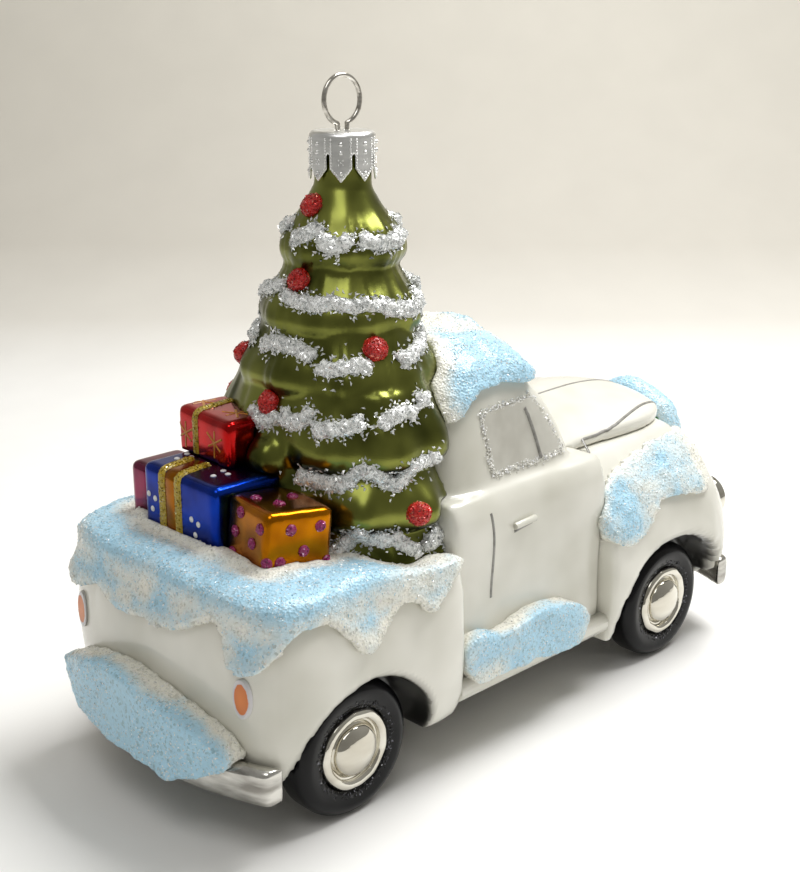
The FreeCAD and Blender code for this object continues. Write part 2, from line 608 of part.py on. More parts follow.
def make_tree(cab):
    """Fir in six lapping tiers, with its open neck, fused to the cab back."""
    neck = Part.makeCylinder(NECK_RADIUS, NECK_TOP_Z - NECK_FOOT_Z, Vector(TREE_X, 0, NECK_FOOT_Z))
    tiers = []
    for i, row in enumerate(TIERS):
        tiers.append(make_tier(*row, -math.pi / 2 + i * math.pi / TREE_LOBES))
    x, y, z, r = BUD
    tiers.append(Part.makeSphere(r, Vector(x, y, z)))
    body = neck.multiFuse(tiers)
    body = body.common(box(-90, 0, -60, 60, BED_TOP_Z, 120)).cut(cab)
    bore = Part.makeCylinder(NECK_BORE, NECK_BORE_DEPTH, Vector(TREE_X, 0, NECK_TOP_Z - NECK_BORE_DEPTH))
    return body.cut(bore)


def rounded_box(length, width, height, radius):
    solid = Part.makeBox(length, width, height, Vector(-length / 2, -width / 2, 0))
    upright = [e for e in solid.Edges if e.BoundBox.ZLength > height - 1e-6 or e.BoundBox.ZMin > height - 1e-6]
    return solid.makeFillet(radius, upright)


GIFTS = {
    # centre x, centre y, foot z, length, width, height, turn, lean
    "gift_blue": (-42.3, 5.2, 37.6, 14.4, 19.6, 13.2, 0.0, 0.0),
    "gift_gold": (-42.6, -9.8, 38.2, 12.0, 14.0, 10.8, -8.0, 6.0),
    "gift_magenta": (-43.0, 18.2, 37.6, 10.0, 5.8, 11.6, 0.0, 0.0),
    "gift_red": (-36.0, 8.6, 50.8, 11.4, 15.2, 7.6, -4.0, 0.0),
}


def make_gifts(tree):
    out = {}
    for name, (x, y, z, length, width, height, turn, lean) in GIFTS.items():
        gift = rounded_box(length, width, height, 1.2)
        gift.rotate(Vector(0, 0, 0), Vector(0, 1, 0), lean)
        gift.rotate(Vector(0, 0, 0), Vector(0, 0, 1), turn)
        gift.translate(Vector(x, y, z))
        out[name] = gift
    done = []
    for name in ("gift_blue", "gift_gold", "gift_magenta", "gift_red"):
        shape = cut_all(out[name].cut(tree), done)
        PARTS[name] = biggest(shape)
        done.append(PARTS[name])
    return done


def make_cap():
    """Crown cap: flat head, skirt slit into pointed tabs, two wire holes."""
    inner = NECK_RADIUS + CAP_CLEARANCE
    outer = inner + CAP_WALL
    head = NECK_TOP_Z + CAP_HEAD_GAP
    cup = Part.makeCylinder(outer, CAP_DRAW, Vector(TREE_X, 0, head + CAP_WALL - CAP_DRAW))
    cup = cup.makeFillet(CAP_WALL * 0.9, [e for e in cup.Edges if e.BoundBox.ZMin > head and e.BoundBox.ZLength < 0.1])
    cup = cup.cut(Part.makeCylinder(inner, CAP_DRAW, Vector(TREE_X, 0, head - CAP_DRAW)))
    foot = head + CAP_WALL - CAP_DRAW
    pitch = 2 * math.pi * outer / CAP_TABS
    notch = [
        (-CAP_SLIT / 2, foot + 4.6), (CAP_SLIT / 2, foot + 4.6), (CAP_SLIT / 2, foot + 2.3), (pitch / 2, foot + 0.05),
        (pitch / 2, foot - 1), (-pitch / 2, foot - 1), (-pitch / 2, foot + 0.05), (-CAP_SLIT / 2, foot + 2.3),
    ]
    blade = prism_yz(notch, inner - 2.0, outer + 2.0)
    for i in range(CAP_TABS):
        cut = blade.copy()
        cut.rotate(Vector(0, 0, 0), Vector(0, 0, 1), 360.0 * (i + 0.5) / CAP_TABS)
        cut.translate(Vector(TREE_X, 0, 0))
        cup = cup.cut(cut)
    for side in (-1, 1):
        hole = Part.makeCylinder(WIRE_RADIUS + WIRE_HOLE_CLEARANCE, 4, Vector(TREE_X + side * LEG_SPREAD, 0, head - 2))
        cup = cup.cut(hole)
    PARTS["cap"] = cup
    make_hanger(head)


def make_hanger(head):
    """Spring-wire hanger: round loop above, two sprung legs in the neck."""
    loop_z = head + CAP_WALL + 0.9 + LOOP_RADIUS
    low = math.asin(LEG_SPREAD / LOOP_RADIUS)
    foot = Vector(LEG_SPREAD, 0, loop_z - LOOP_RADIUS * math.cos(low))
    knee = Vector(LEG_SPREAD, 0, head - 1.5)
    toe = Vector(LEG_SPRING, 0, head - LEG_LENGTH)
    top = Vector(0, 0, loop_z + LOOP_RADIUS)
    loop = Part.Arc(foot, top, Vector(-foot.x, 0, foot.z)).toShape()
    pieces = [Part.makeSphere(WIRE_RADIUS, p) for p in (foot, knee, toe)]
    pieces.append(Part.makeCylinder(WIRE_RADIUS, foot.z - knee.z, knee))
    pieces.append(Part.makeCylinder(WIRE_RADIUS, (toe - knee).Length, knee, toe - knee))
    leg = pieces[0].multiFuse(pieces[1:])
    ring_path = Part.Wire([loop])
    curve = loop.Curve
    start = loop.valueAt(loop.FirstParameter)
    along = curve.tangent(loop.FirstParameter)[0]
    ring = ring_path.makePipeShell([Part.Wire([Part.makeCircle(WIRE_RADIUS, start, along)])], True, True)
    wire = ring.multiFuse([leg, leg.mirror(Vector(0, 0, 0), Vector(1, 0, 0))])
    wire.translate(Vector(TREE_X, 0, 0))
    PARTS["hanger"] = wire


def make_wreath(nose):
    """Wreath on the grille, with a cap of snow on its upper part."""
    ring = Part.makeTorus(9.2, 2.6, Vector(NOSE_X + 4.4, 0, 33.5), Vector(1, 0, 0.1))
    body = ring.cut(nose).cut(PARTS["front_bumper"])
    hill = Part.makeTorus(9.5, 2.9, Vector(NOSE_X + 4.8, 0, 34.4), Vector(1, 0, 0.1))
    top = hill.common(box(0, 99, -30, 30, 37.5, 60)).cut(ring).cut(nose).cut(PARTS["hood"])
    body = body.cut(PARTS["hood"])
    PARTS["wreath"] = biggest(body)
    PARTS["wreath_snow"] = biggest(top)


def main():
    os.makedirs("parts", exist_ok=True)
    make_underbody()
    make_wheels()
    hull = make_bed()
    cab = make_cab()
    nose = make_front(cab)
    make_handles()
    make_bumpers(hull, nose)
    make_tail_lamps(hull)
    make_running_boards()
    roof_snow = make_roof_snow(cab)
    recess = bed_recess()
    tree = make_tree(cab)
    PARTS["roof_snow"] = biggest(roof_snow.cut(tree))
    PARTS["tree"] = tree
    gifts = make_gifts(tree)
    make_bed_snow(hull.cut(recess), cab, tree, gifts)
    make_fender_snow(nose, cab)
    make_board_snow(cab)
    make_bumper_snow(hull)
    make_wreath(nose)
    make_cap()
    for name, shape in PARTS.items():
        shape.exportStep("parts/%s.step" % name)
        print("%-26s solids %d valid %s volume %.0f" % (name, len(shape.Solids), shape.isValid(), shape.Volume))


main()
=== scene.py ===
# %% [markdown]
# A blown-glass tree ornament stands on a pale table: an old pickup truck with a fir, four wrapped
# gifts and drifts of glitter snow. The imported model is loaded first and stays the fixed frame. Every
# piece made here takes its place from it, so nothing has to be fitted by eye.

# %% Load the frame
import math
import bmesh
import bpy
import numpy as np
from mathutils import Matrix, Vector, noise
from mathutils.bvhtree import BVHTree
from mathutils.kdtree import KDTree


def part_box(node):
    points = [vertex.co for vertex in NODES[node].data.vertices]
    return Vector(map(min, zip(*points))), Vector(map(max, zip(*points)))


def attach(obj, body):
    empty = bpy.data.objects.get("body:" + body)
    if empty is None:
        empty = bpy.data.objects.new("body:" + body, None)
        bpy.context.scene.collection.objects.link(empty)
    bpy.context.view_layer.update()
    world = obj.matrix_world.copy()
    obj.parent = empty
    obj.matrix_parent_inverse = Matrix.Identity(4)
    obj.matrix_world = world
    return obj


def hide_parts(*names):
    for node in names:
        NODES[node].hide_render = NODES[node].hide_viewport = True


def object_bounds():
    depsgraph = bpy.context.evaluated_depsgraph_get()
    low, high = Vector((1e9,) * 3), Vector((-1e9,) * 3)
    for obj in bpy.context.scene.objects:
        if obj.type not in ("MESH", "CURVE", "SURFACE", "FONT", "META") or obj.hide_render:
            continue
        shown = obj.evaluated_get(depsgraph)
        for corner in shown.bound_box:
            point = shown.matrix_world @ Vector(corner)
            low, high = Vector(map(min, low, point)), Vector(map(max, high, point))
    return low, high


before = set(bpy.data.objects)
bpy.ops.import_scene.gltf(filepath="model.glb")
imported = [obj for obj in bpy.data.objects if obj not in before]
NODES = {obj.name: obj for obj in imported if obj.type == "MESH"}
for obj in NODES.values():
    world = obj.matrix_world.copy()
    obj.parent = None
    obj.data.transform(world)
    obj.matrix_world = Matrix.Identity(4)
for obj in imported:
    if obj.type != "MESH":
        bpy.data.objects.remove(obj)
CAD_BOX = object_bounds()
MM = 0.001
SIDES = (("right", -1), ("left", 1))
ENDS = ("rear", "front")

# %% [markdown]
# The camera stands behind the truck on its right side, a little above the roof. Its direction is
# kept as a heading and a pitch, which is easier to check than a matrix. The long side of the picture
# is the height, so the lens is set against that side.

# %% Camera
EYE = Vector((-164.6, -164.8, 121.4)) * MM
HEADING = math.radians(46.1)
PITCH = math.radians(17.6)


def linked(name, data):
    """An object for some data, in the scene."""
    piece = bpy.data.objects.new(name, data)
    bpy.context.scene.collection.objects.link(piece)
    return piece


camera_data = bpy.data.cameras.new("photo_camera")
camera_data.sensor_width = 36.0
camera_data.lens = 56.5
camera_data.clip_start = 0.01
camera = linked("photo_camera", camera_data)
camera.location = EYE
look = Vector((math.cos(PITCH) * math.cos(HEADING), math.cos(PITCH) * math.sin(HEADING), -math.sin(PITCH)))
camera.rotation_euler = look.to_track_quat("-Z", "Y").to_euler()
bpy.context.scene.camera = camera
bpy.context.scene.view_settings.view_transform = "Standard"
print("camera at", tuple(round(c, 3) for c in EYE))

# %% [markdown]
# Colours are written as sRGB hex values, the way a paint chart gives them, and the renderer works in
# linear light, so one function turns them over. One more adds a shader node with its settings and
# links. Most coatings are built alike, with cloudy tones, a glaze and fine dents, so one recipe makes
# them all.

# %% Colour and node helpers
MULTIPLY = {"data_type": "RGBA", "blend_type": "MULTIPLY"}


def colour(code):
    """sRGB hex code as the linear RGBA that shader sockets take."""
    channels = [int(code[i:i + 2], 16) / 255.0 for i in (1, 3, 5)]
    linear = [c / 12.92 if c <= 0.04045 else ((c + 0.055) / 1.055) ** 2.4 for c in channels]
    return (*linear, 1.0)


def add(beside, kind, settings=None, values=None, links=None, stops=()):
    """A shader node in the tree of another, with its settings, values, links and colour stops."""
    tree = beside.id_data
    node = tree.nodes.new("ShaderNode" + kind)
    for key, value in (settings or {}).items():
        setattr(node, key, value)
    for key, value in (values or {}).items():
        node.inputs[key].default_value = value
    for key, source in (links or {}).items():
        tree.links.new(source, node.inputs[key])
    for i, (position, code) in enumerate(stops):
        band = node.color_ramp.elements
        stop = band[i] if i < 2 else band.new(position)
        stop.position = position
        stop.color = colour(code)
    return node


def blank(name, surface):
    """An empty material whose Principled surface gets constant values on its own sockets."""
    material = bpy.data.materials.new(name)
    material.use_nodes = True
    tree = material.node_tree
    tree.nodes.clear()
    shader = add(tree, "BsdfPrincipled", values=surface)
    add(tree, "OutputMaterial", links={"Surface": shader.outputs[0]})
    return material, shader, add(tree, "TexCoord").outputs["Object"]


def per_metre(size_mm):
    """Texture scale at which one cell or wave is so many millimetres."""
    return 1.0 / (size_mm * MM)


def paint(shader, tone, glaze=None, height=None, strength=0.0, depth_mm=0.0):
    """Gives a surface its tone, glazed where there is a second one, and dents from a height."""
    links = shader.id_data.links
    if glaze:
        tone = add(shader, "Mix", MULTIPLY, {0: 1.0}, {6: tone, 7: glaze}).outputs[2]
    links.new(tone, shader.inputs["Base Color"])
    if height:
        dents = add(shader, "Bump", values={"Strength": strength, "Distance": depth_mm * MM}, links={"Height": height})
        links.new(dents.outputs["Normal"], shader.inputs["Normal"])


def finish(name, surface, cloud_mm, detail, tones, kept=None, stops=(), strength=0.0, depth_mm=0.0, stretch=None,
           ripple_mm=None):
    """Coating with cloudy tones, a glaze picked by a value that the mesh keeps, and streaks or ripples."""
    material, shader, place = blank(name, surface)
    if stretch:
        place = add(shader, "Mapping", values={"Scale": stretch}, links={"Vector": place}).outputs[0]
    cloud = add(shader, "TexNoise", values={"Scale": per_metre(cloud_mm), "Detail": detail},
                links={"Vector": place}).outputs["Fac"]
    tone = add(shader, "ValToRGB", links={"Fac": cloud}, stops=tones).outputs["Color"]
    glaze = None
    if kept:
        value = add(shader, "Attribute", {"attribute_name": kept}).outputs["Fac"]
        glaze = add(shader, "ValToRGB", links={"Fac": value}, stops=stops).outputs["Color"]
    height = cloud if strength else None
    if ripple_mm:
        height = add(shader, "TexNoise", values={"Scale": per_metre(ripple_mm), "Detail": 1.0},
                     links={"Vector": place}).outputs["Fac"]
    paint(shader, tone, glaze, height, strength, depth_mm)
    return material


print("helpers ready")

# %% [markdown]
# The truck is blown glass, silvered inside and sprayed outside with pearl-white lacquer under a clear
# gloss. Lacquer is a dielectric of IOR 1.5, so the paint itself is fairly rough and a smooth clear coat
# lies over it. The painted shade in the wheel arches, black in the wells and grey round them, is a value
# stored on the mesh, because it follows the arches and not a pattern in space.

# %% Pearl-white lacquer on glass
PEARL_SURFACE = {"Roughness": 0.34, "IOR": 1.5, "Coat Weight": 0.8, "Coat Roughness": 0.08, "Coat IOR": 1.5}
# Painted shade: the stored value turns the pearl grey round the wheel arches and black in the wells.
pearl = finish("pearl_white_lacquer_on_glass", PEARL_SURFACE, 14, 2.0, ((0.3, "#CECCBF"), (0.7, "#E6E4DA")),
               "airbrush_and_painted_shade", ((0.0, "#FFFFFF"), (0.5, "#84827C"), (1.0, "#101010")), 0.25, 0.5, ripple_mm=7)
print("material", pearl.name)

# %% [markdown]
# The bumpers, the grille, the headlamps and the hubcaps show the silvering. Silver nitrate leaves a
# true mirror inside the glass: the hubcaps and headlamps are left clear, while the others are brushed
# with silver lacquer, which is the same metal with a rougher, streaky face. The default IOR stays,
# since a metal's colour comes from its base colour.

# %% Silvered and silver-lacquered glass


def silver(name, light, dark, roughness, streak_mm, strength):
    """Silver finish with brushed streaks of a given width."""
    return finish(name, {"Metallic": 1.0, "Roughness": roughness}, streak_mm, 3.0, ((0.35, dark), (0.65, light)),
                  strength=strength, depth_mm=0.3, stretch=(0.4, 0.4, 1.6))


mirror = silver("clear_silvered_glass", "#D9D6CC", "#C4BFB2", 0.07, 5.0, 0.5)
bumper_silver = silver("silver_lacquer_on_glass", "#D2D0CA", "#8F8C86", 0.20, 3.0, 0.6)
cap_metal = silver("stamped_bright_aluminium", "#F6F6F4", "#E2E2E0", 0.32, 2.0, 0.1)
wire_metal = silver("drawn_spring_wire", "#DAD6CE", "#B5B0A6", 0.16, 1.0, 0.1)
print("silver finishes", mirror.name, bumper_silver.name, cap_metal.name, wire_metal.name)

# %% [markdown]
# The fir and the gifts are transparent coloured lacquer over the silvering. Light passes the colour
# twice and comes back off the mirror, which looks like a coloured metal, bright where it faces the light
# and almost black where it doesn't. The fir's lacquer is satin and the gifts' is glossier. The fir is
# painted darker where its tiers turn under, as painted shade.

# %% Coloured lacquers over silvering


def lacquer(name, light, deep, roughness, coat, cloud_mm):
    """Coloured lacquer over silvering, darker by a stored value: painted shade under the fir's tiers, a plain darker
    tone on the gold band and the wreath.
    """
    surface = {"Metallic": 1.0, "Roughness": roughness, "Coat Weight": coat, "Coat Roughness": 0.06}
    return finish(name, surface, cloud_mm, 2.0, ((0.3, deep), (0.7, light)), "airbrush_and_painted_shade",
                  ((0.0, "#FFFFFF"), (1.0, "#2A2418")), 0.3, 0.4)


fir_green = lacquer("satin_olive_lacquer", "#8A8E44", "#42461A", 0.28, 0.06, 9.0)
gift_blue = lacquer("gloss_blue_lacquer", "#0634A0", "#02186C", 0.24, 0.12, 7.0)
gift_red = lacquer("gloss_red_lacquer", "#C40A0A", "#900404", 0.18, 0.2, 7.0)
gift_gold = lacquer("satin_gold_lacquer", "#C87C04", "#7A3E00", 0.22, 0.05, 7.0)
gift_magenta = lacquer("gloss_magenta_lacquer", "#7E0C40", "#4E0630", 0.2, 0.35, 5.0)
wreath_green = lacquer("gloss_wreath_green_lacquer", "#2F7A3A", "#174A20", 0.3, 0.6, 1.2)
print("lacquers", fir_green.name, gift_blue.name, gift_red.name, gift_gold.name, gift_magenta.name)

# %% [markdown]
# Plain enamels are opaque: black on the tyres, white dots on the blue gift, grey lines for the doors
# and hood, pale grey on the panes and ochre stars. A little noise moves the tone and the relief, as a
# brush does. They are dielectrics with an IOR near 1.5.

# %% Enamels


def enamel(name, light, dark, roughness, coat, grain_mm, specular=0.5):
    """Opaque brushed enamel."""
    surface = {"Roughness": roughness, "IOR": 1.5, "Specular IOR Level": specular, "Coat Weight": coat,
               "Coat Roughness": 0.1}
    return finish(name, surface, grain_mm, 3.0, ((0.35, dark), (0.65, light)), strength=0.3, depth_mm=0.15)


tyre_black = enamel("gloss_black_tyre_lacquer", "#0A0A0D", "#040405", 0.24, 0.0, 3.0, 0.22)
dot_white = enamel("white_dot_enamel", "#F2F2F0", "#DEDEDC", 0.4, 0.2, 0.6)
line_grey = enamel("grey_line_enamel", "#8F8D87", "#74726C", 0.4, 0.2, 1.0)
star_ochre = enamel("ochre_star_enamel", "#D08A1C", "#A8640E", 0.4, 0.2, 0.8)
pane_grey = enamel("pale_grey_pane_lacquer", "#CBC9BF", "#B3B0A5", 0.3, 0.5, 8.0)
# The grey under the truck is painted shade.
underside_shade_grey = enamel("underside_painted_shade_grey", "#8C8A84", "#75736D", 0.45, 0.3, 6.0)
print("enamels", tyre_black.name, dot_white.name, line_grey.name, star_ochre.name)

# %% [markdown]
# Each tail lamp is one oval dab of orange enamel inside a pale silver border. The lamp's mesh keeps how
# far a place is from its middle, as a share of the oval, and the border starts at a fixed share.

# %% Tail lamp enamel
lamp_orange, shader, place = blank("orange_lamp_enamel", {
    "Roughness": 0.35, "IOR": 1.5, "Coat Weight": 0.4, "Coat Roughness": 0.1,
})
share = add(shader, "Attribute", {"attribute_name": "oval"})
wobble = add(shader, "TexNoise", values={"Scale": per_metre(0.8)}, links={"Vector": place})
edge = add(shader, "Math", {"operation": "MULTIPLY_ADD"}, {1: 0.12}, {0: wobble.outputs[0], 2: share.outputs["Fac"]})
tone = add(shader, "ValToRGB", links={"Fac": edge.outputs[0]},
           stops=((0.0, "#E07A12"), (0.80, "#D06C0C"), (0.84, "#C8C4C8"), (1.0, "#DAD8D8")))
paint(shader, tone.outputs[0])
print("material", lamp_orange.name)

# %% [markdown]
# Glass glitter is crushed glass of about half a millimetre, shaken onto wet glue. Seen close, every
# grain is a chip with its own tilt: some flash, some look dark, most show the colour of the glue. The
# layer is a lumpy mesh with a cell pattern at grain size, and on it lie real chips as small meshes.
# Each chip carries its own tone as an attribute, so no two neighbours match, and the brightest tones are painted
# glints.

# %% Glitter


def glitter_bed(name, pale, tinted, grain_mm, roughness):
    """Layer of glue and grains; the tint attribute moves it from pale to tinted."""
    material, shader, place = blank(name, {"Roughness": roughness, "IOR": 1.5, "Coat Weight": 0.35,
                                           "Coat Roughness": 0.12})
    tint = add(shader, "Attribute", {"attribute_name": "tint"})
    tone = add(shader, "ValToRGB", links={"Fac": tint.outputs["Fac"]}, stops=((0.0, pale), (1.0, tinted)))
    cells = add(shader, "TexVoronoi", values={"Scale": per_metre(grain_mm)}, links={"Vector": place})
    spark = add(shader, "SeparateColor", links={"Color": cells.outputs["Color"]})
    speck = add(shader, "ValToRGB", links={"Fac": spark.outputs[0]},
                stops=((0.0, "#D4D4D0"), (0.2, "#F6F6F4"), (1.0, "#FFFFFF")))
    paint(shader, tone.outputs[0], speck.outputs[0], cells.outputs["Distance"], 0.6, 0.25)
    return material


def glitter_chips(name, roughness, metallic, *stops):
    """Facets of the chips; the tone attribute of each chip picks its colour, the brightest being painted glints."""
    surface = {"Roughness": roughness, "Metallic": metallic, "Coat Weight": 0.5, "Coat Roughness": 0.03}
    return finish(name, surface, 0.6, 2.0, ((0.3, "#D8D8D8"), (0.7, "#FFFFFF")), "tone", stops)


# Each layer: its colour where pale and where tinted, its grain in millimetres and its roughness.
BED_LOOKS = {
    "snow": ("#F3F1E6", "#B2DCF2", 0.42, 0.45),
    "silver": ("#E6E9E5", "#FAFBFA", 0.4, 0.4),
    "red": ("#A00A06", "#C4120A", 0.4, 0.4),
    "gold": ("#8A7410", "#B89C1C", 0.35, 0.35),
    "magenta": ("#7A1048", "#96185C", 0.35, 0.35),
}
# Each kind of chip: its roughness, its metallic share and the colours that its tone picks from; the brightest are
# painted glints.
CHIP_LOOKS = {
    "snow": (0.12, 0.0, (0.0, "#BAB8AC"), (0.05, "#E6E4D8"), (0.3, "#FAF8EE"), (1.0, "#FFFFFF")),
    "blue": (0.12, 0.0, (0.0, "#8FB8CE"), (0.06, "#ACD8EE"), (0.6, "#C6E8F8"), (1.0, "#FFFFFF")),
    "silver": (0.15, 0.3, (0.0, "#8A8E8C"), (0.15, "#CDD1CF"), (0.5, "#F4F6F4"), (1.0, "#FFFFFF")),
    "red": (0.12, 0.4, (0.0, "#5A0402"), (0.4, "#B40C06"), (0.85, "#DA200A"), (1.0, "#FFA080")),
    "gold": (0.15, 0.5, (0.0, "#5E4A04"), (0.4, "#A88A12"), (0.8, "#D8BC2E"), (1.0, "#FFF6B8")),
    "magenta": (0.12, 0.4, (0.0, "#3E0628"), (0.4, "#8A1458"), (0.85, "#C23A8E"), (1.0, "#FFD2F0")),
    "black": (0.15, 0.2, (0.0, "#020202"), (0.8, "#0C0C10"), (1.0, "#8A8A96")),
}
BEDS = {hue: glitter_bed(hue + "_glitter_layer", *look) for hue, look in BED_LOOKS.items()}
CHIPS = {hue: glitter_chips(hue + "_glass_chips", *look) for hue, look in CHIP_LOOKS.items()}
CHIPS["leaf"] = glitter_chips("green_leaf_lacquer", 0.25, 0.4, (0.0, "#0A2A10"), (0.5, "#1F6A2C"), (1.0, "#58B45C"))
print("glitter finishes ready")

# %% [markdown]
# Glass blown into a mould has no knife edges: every corner is rolled over and every joint between two
# forms is a soft valley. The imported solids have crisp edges, so a copy of them is merged, wrapped in one
# even skin by a voxel remesh and relaxed a little. The skin keeps the place and size of the solid and
# shrinks only at its edges, which is what molten glass does.

# %% Skins of blown glass


def cad_copy(nodes):
    """Editable copy of some CAD nodes with their loose triangles joined."""
    bm = bmesh.new()
    for node in nodes:
        bm.from_mesh(NODES[node].data)
    bmesh.ops.remove_doubles(bm, verts=bm.verts, dist=0.002 * MM)
    return bm


def finished(bm, name, sharp_degrees=40):
    """Mesh of a bmesh, smooth except where faces meet at a sharp angle."""
    mesh = bpy.data.meshes.new(name)
    bm.to_mesh(mesh)
    bm.free()
    mesh.shade_smooth()
    mesh.set_sharp_from_angle(angle=math.radians(sharp_degrees))
    return mesh


def corners(mesh):
    """Vertex places and normals as arrays, in metres."""
    places = np.empty(len(mesh.vertices) * 3)
    mesh.vertices.foreach_get("co", places)
    normals = np.empty(len(mesh.vertices) * 3)
    mesh.vertex_normals.foreach_get("vector", normals)
    return places.reshape(-1, 3), normals.reshape(-1, 3)


def move(mesh, places):
    """Puts the vertices at new places."""
    mesh.vertices.foreach_set("co", np.asarray(places).ravel())
    mesh.update()


def store(mesh, name, values):
    """Keeps one number per vertex for a material to read."""
    layer = mesh.attributes.new(name, "FLOAT", "POINT")
    layer.data.foreach_set("value", np.full(len(mesh.vertices), values, dtype=np.float32))


def put(name, mesh, material, replaced=(), body="root"):
    """Shows a finished mesh as a piece that rides on a CAD body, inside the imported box."""
    move(mesh, np.clip(corners(mesh)[0], CAD_BOX[0], CAD_BOX[1]))
    mesh.materials.clear()
    mesh.materials.append(material)
    piece = linked(name, mesh)
    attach(piece, body)
    if replaced:
        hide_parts(*replaced)


def wrapped(name, mesh, voxel_mm, relax):
    """One soft closed skin round a mesh."""
    core = linked(name + "_blank", mesh)
    wrap = core.modifiers.new("wrap", "REMESH")
    wrap.mode = "VOXEL"
    wrap.voxel_size = voxel_mm * MM
    soft = core.modifiers.new("relax", "SMOOTH")
    soft.factor = 0.5
    soft.iterations = relax
    skin = bpy.data.meshes.new_from_object(core.evaluated_get(bpy.context.evaluated_depsgraph_get()))
    bpy.data.objects.remove(core)
    skin.name = name
    skin.shade_smooth()
    return skin


def glass_skin(name, nodes, voxel_mm, relax):
    """One soft closed skin round some CAD nodes."""
    return wrapped(name, finished(cad_copy(nodes), name + "_blank"), voxel_mm, relax)


def tree_of(meshes):
    """Search tree over some meshes, for casting rays onto them."""
    points, faces = [], []
    for mesh in meshes:
        first = len(points)
        points += [v.co.copy() for v in mesh.vertices]
        faces += [[first + i for i in p.vertices] for p in mesh.polygons]
    return BVHTree.FromPolygons(points, faces)


print("skin helpers ready")

# %% [markdown]
# The truck's glass is four skins: the rear with its fenders, the cab, the nose with its fenders and the
# hood. Where two skins meet, their rolled edges leave the grooves that the real mould leaves. The wheel
# wells get painted shade, black inside and fading to grey round the arches, so each vertex gets a shade
# value from how far it lies from the ellipse of its arch.

# %% Truck body
# Each arch: the x and z of its middle, and its reach along x and z, in millimetres.
ARCHES = ((-39.4, 10.4, 14.2, 12.9), (39.0, 10.8, 16.2, 14.2))
WELL_INSIDE_MM = 17.3
OUTER_FACE_MM = 22.0
FADE_SHARE = 0.085
SWELL_MM = 2.4
SWELL_TOWARD = (0.69, 0.72)
# The swelling starts at an x and at a y and is full so many millimetres further on.
SWELL_AHEAD = (42.0, 8.0)
SWELL_ASIDE = (14.0, 6.0)
GLASS = {
    "rear": (["bed", "rear_fender_right", "rear_fender_left"], 0.7, 5),
    "cab": (["cab"], 0.7, 8),
    "nose": (["nose_panel", "front_fender_right", "front_fender_left"], 0.68, 5),
    "hood": (["hood"], 0.6, 6),
}


def airbrush_and_painted_shade(mesh):
    """Painted shade: black in the wheel wells, fading out just outside the arches."""
    places, normals = corners(mesh)
    x, y, z = (places / MM).T
    well_shade = np.zeros(len(places))
    for cx, cz, rx, rz in ARCHES:
        rise = np.maximum(z - cz, 0.0)
        reach = np.sqrt(((x - cx) / rx) ** 2 + (rise / rz) ** 2)
        fade = np.clip(1.0 - (reach - 1.0) / FADE_SHARE, 0.0, 1.0)
        inside = np.clip((1.03 - reach) / 0.03, 0.0, 1.0)
        outer = (np.abs(normals[:, 1]) > 0.6) & (np.abs(y) > OUTER_FACE_MM)
        here = np.where(outer, 0.45 * fade, 0.55 * fade + 0.45 * inside)
        well_shade = np.maximum(well_shade, np.where(np.abs(y) > WELL_INSIDE_MM, here, 0.0))
    store(mesh, "airbrush_and_painted_shade", well_shade)


def swell(mesh):
    """Rounds the two front corners out, as the blown nose bulges there."""
    places, normals = corners(mesh)
    x, y, _ = (places / MM).T
    toward = np.clip(SWELL_TOWARD[0] * normals[:, 0] + SWELL_TOWARD[1] * normals[:, 1] * np.sign(y), 0.0, 1.0) ** 4
    near = np.clip((x - SWELL_AHEAD[0]) / SWELL_AHEAD[1], 0.0, 1.0)
    near *= np.clip((np.abs(y) - SWELL_ASIDE[0]) / SWELL_ASIDE[1], 0.0, 1.0)
    move(mesh, places + normals * (SWELL_MM * toward * near)[:, None] * MM)


SKINS = {}
for part, (nodes, voxel_mm, relax) in GLASS.items():
    skin = glass_skin(part + "_glass", nodes, voxel_mm, relax)
    if part == "nose":
        swell(skin)
    if part != "hood":
        airbrush_and_painted_shade(skin)
    put(part + "_glass", skin, pearl, nodes)
    SKINS[part] = skin
    print(part, "skin", len(skin.polygons))

# %% [markdown]
# Smaller glass forms are already the right shape in the frame. A copy of each is merged and shaded
# smooth, and gets the finish that it has on the real thing: silver on bumpers, lamps and grille, pale
# grey on the windows. The pan underneath is grey as painted shade. The panes stand a little proud of the
# cab's relaxed skin. The hubcaps are turned anew from a profile, since a blown dome is taller than a step.

# %% Small glass forms


def dressed(name, node, material, proud_mm=0.0, sharp=35, body="root"):
    """The CAD node's own form with a finish, a little proud where asked."""
    bm = cad_copy([node])
    bm.normal_update()
    for vert in bm.verts:
        vert.co += vert.normal * proud_mm * MM
    put(name, finished(bm, name, sharp), material, [node], body)


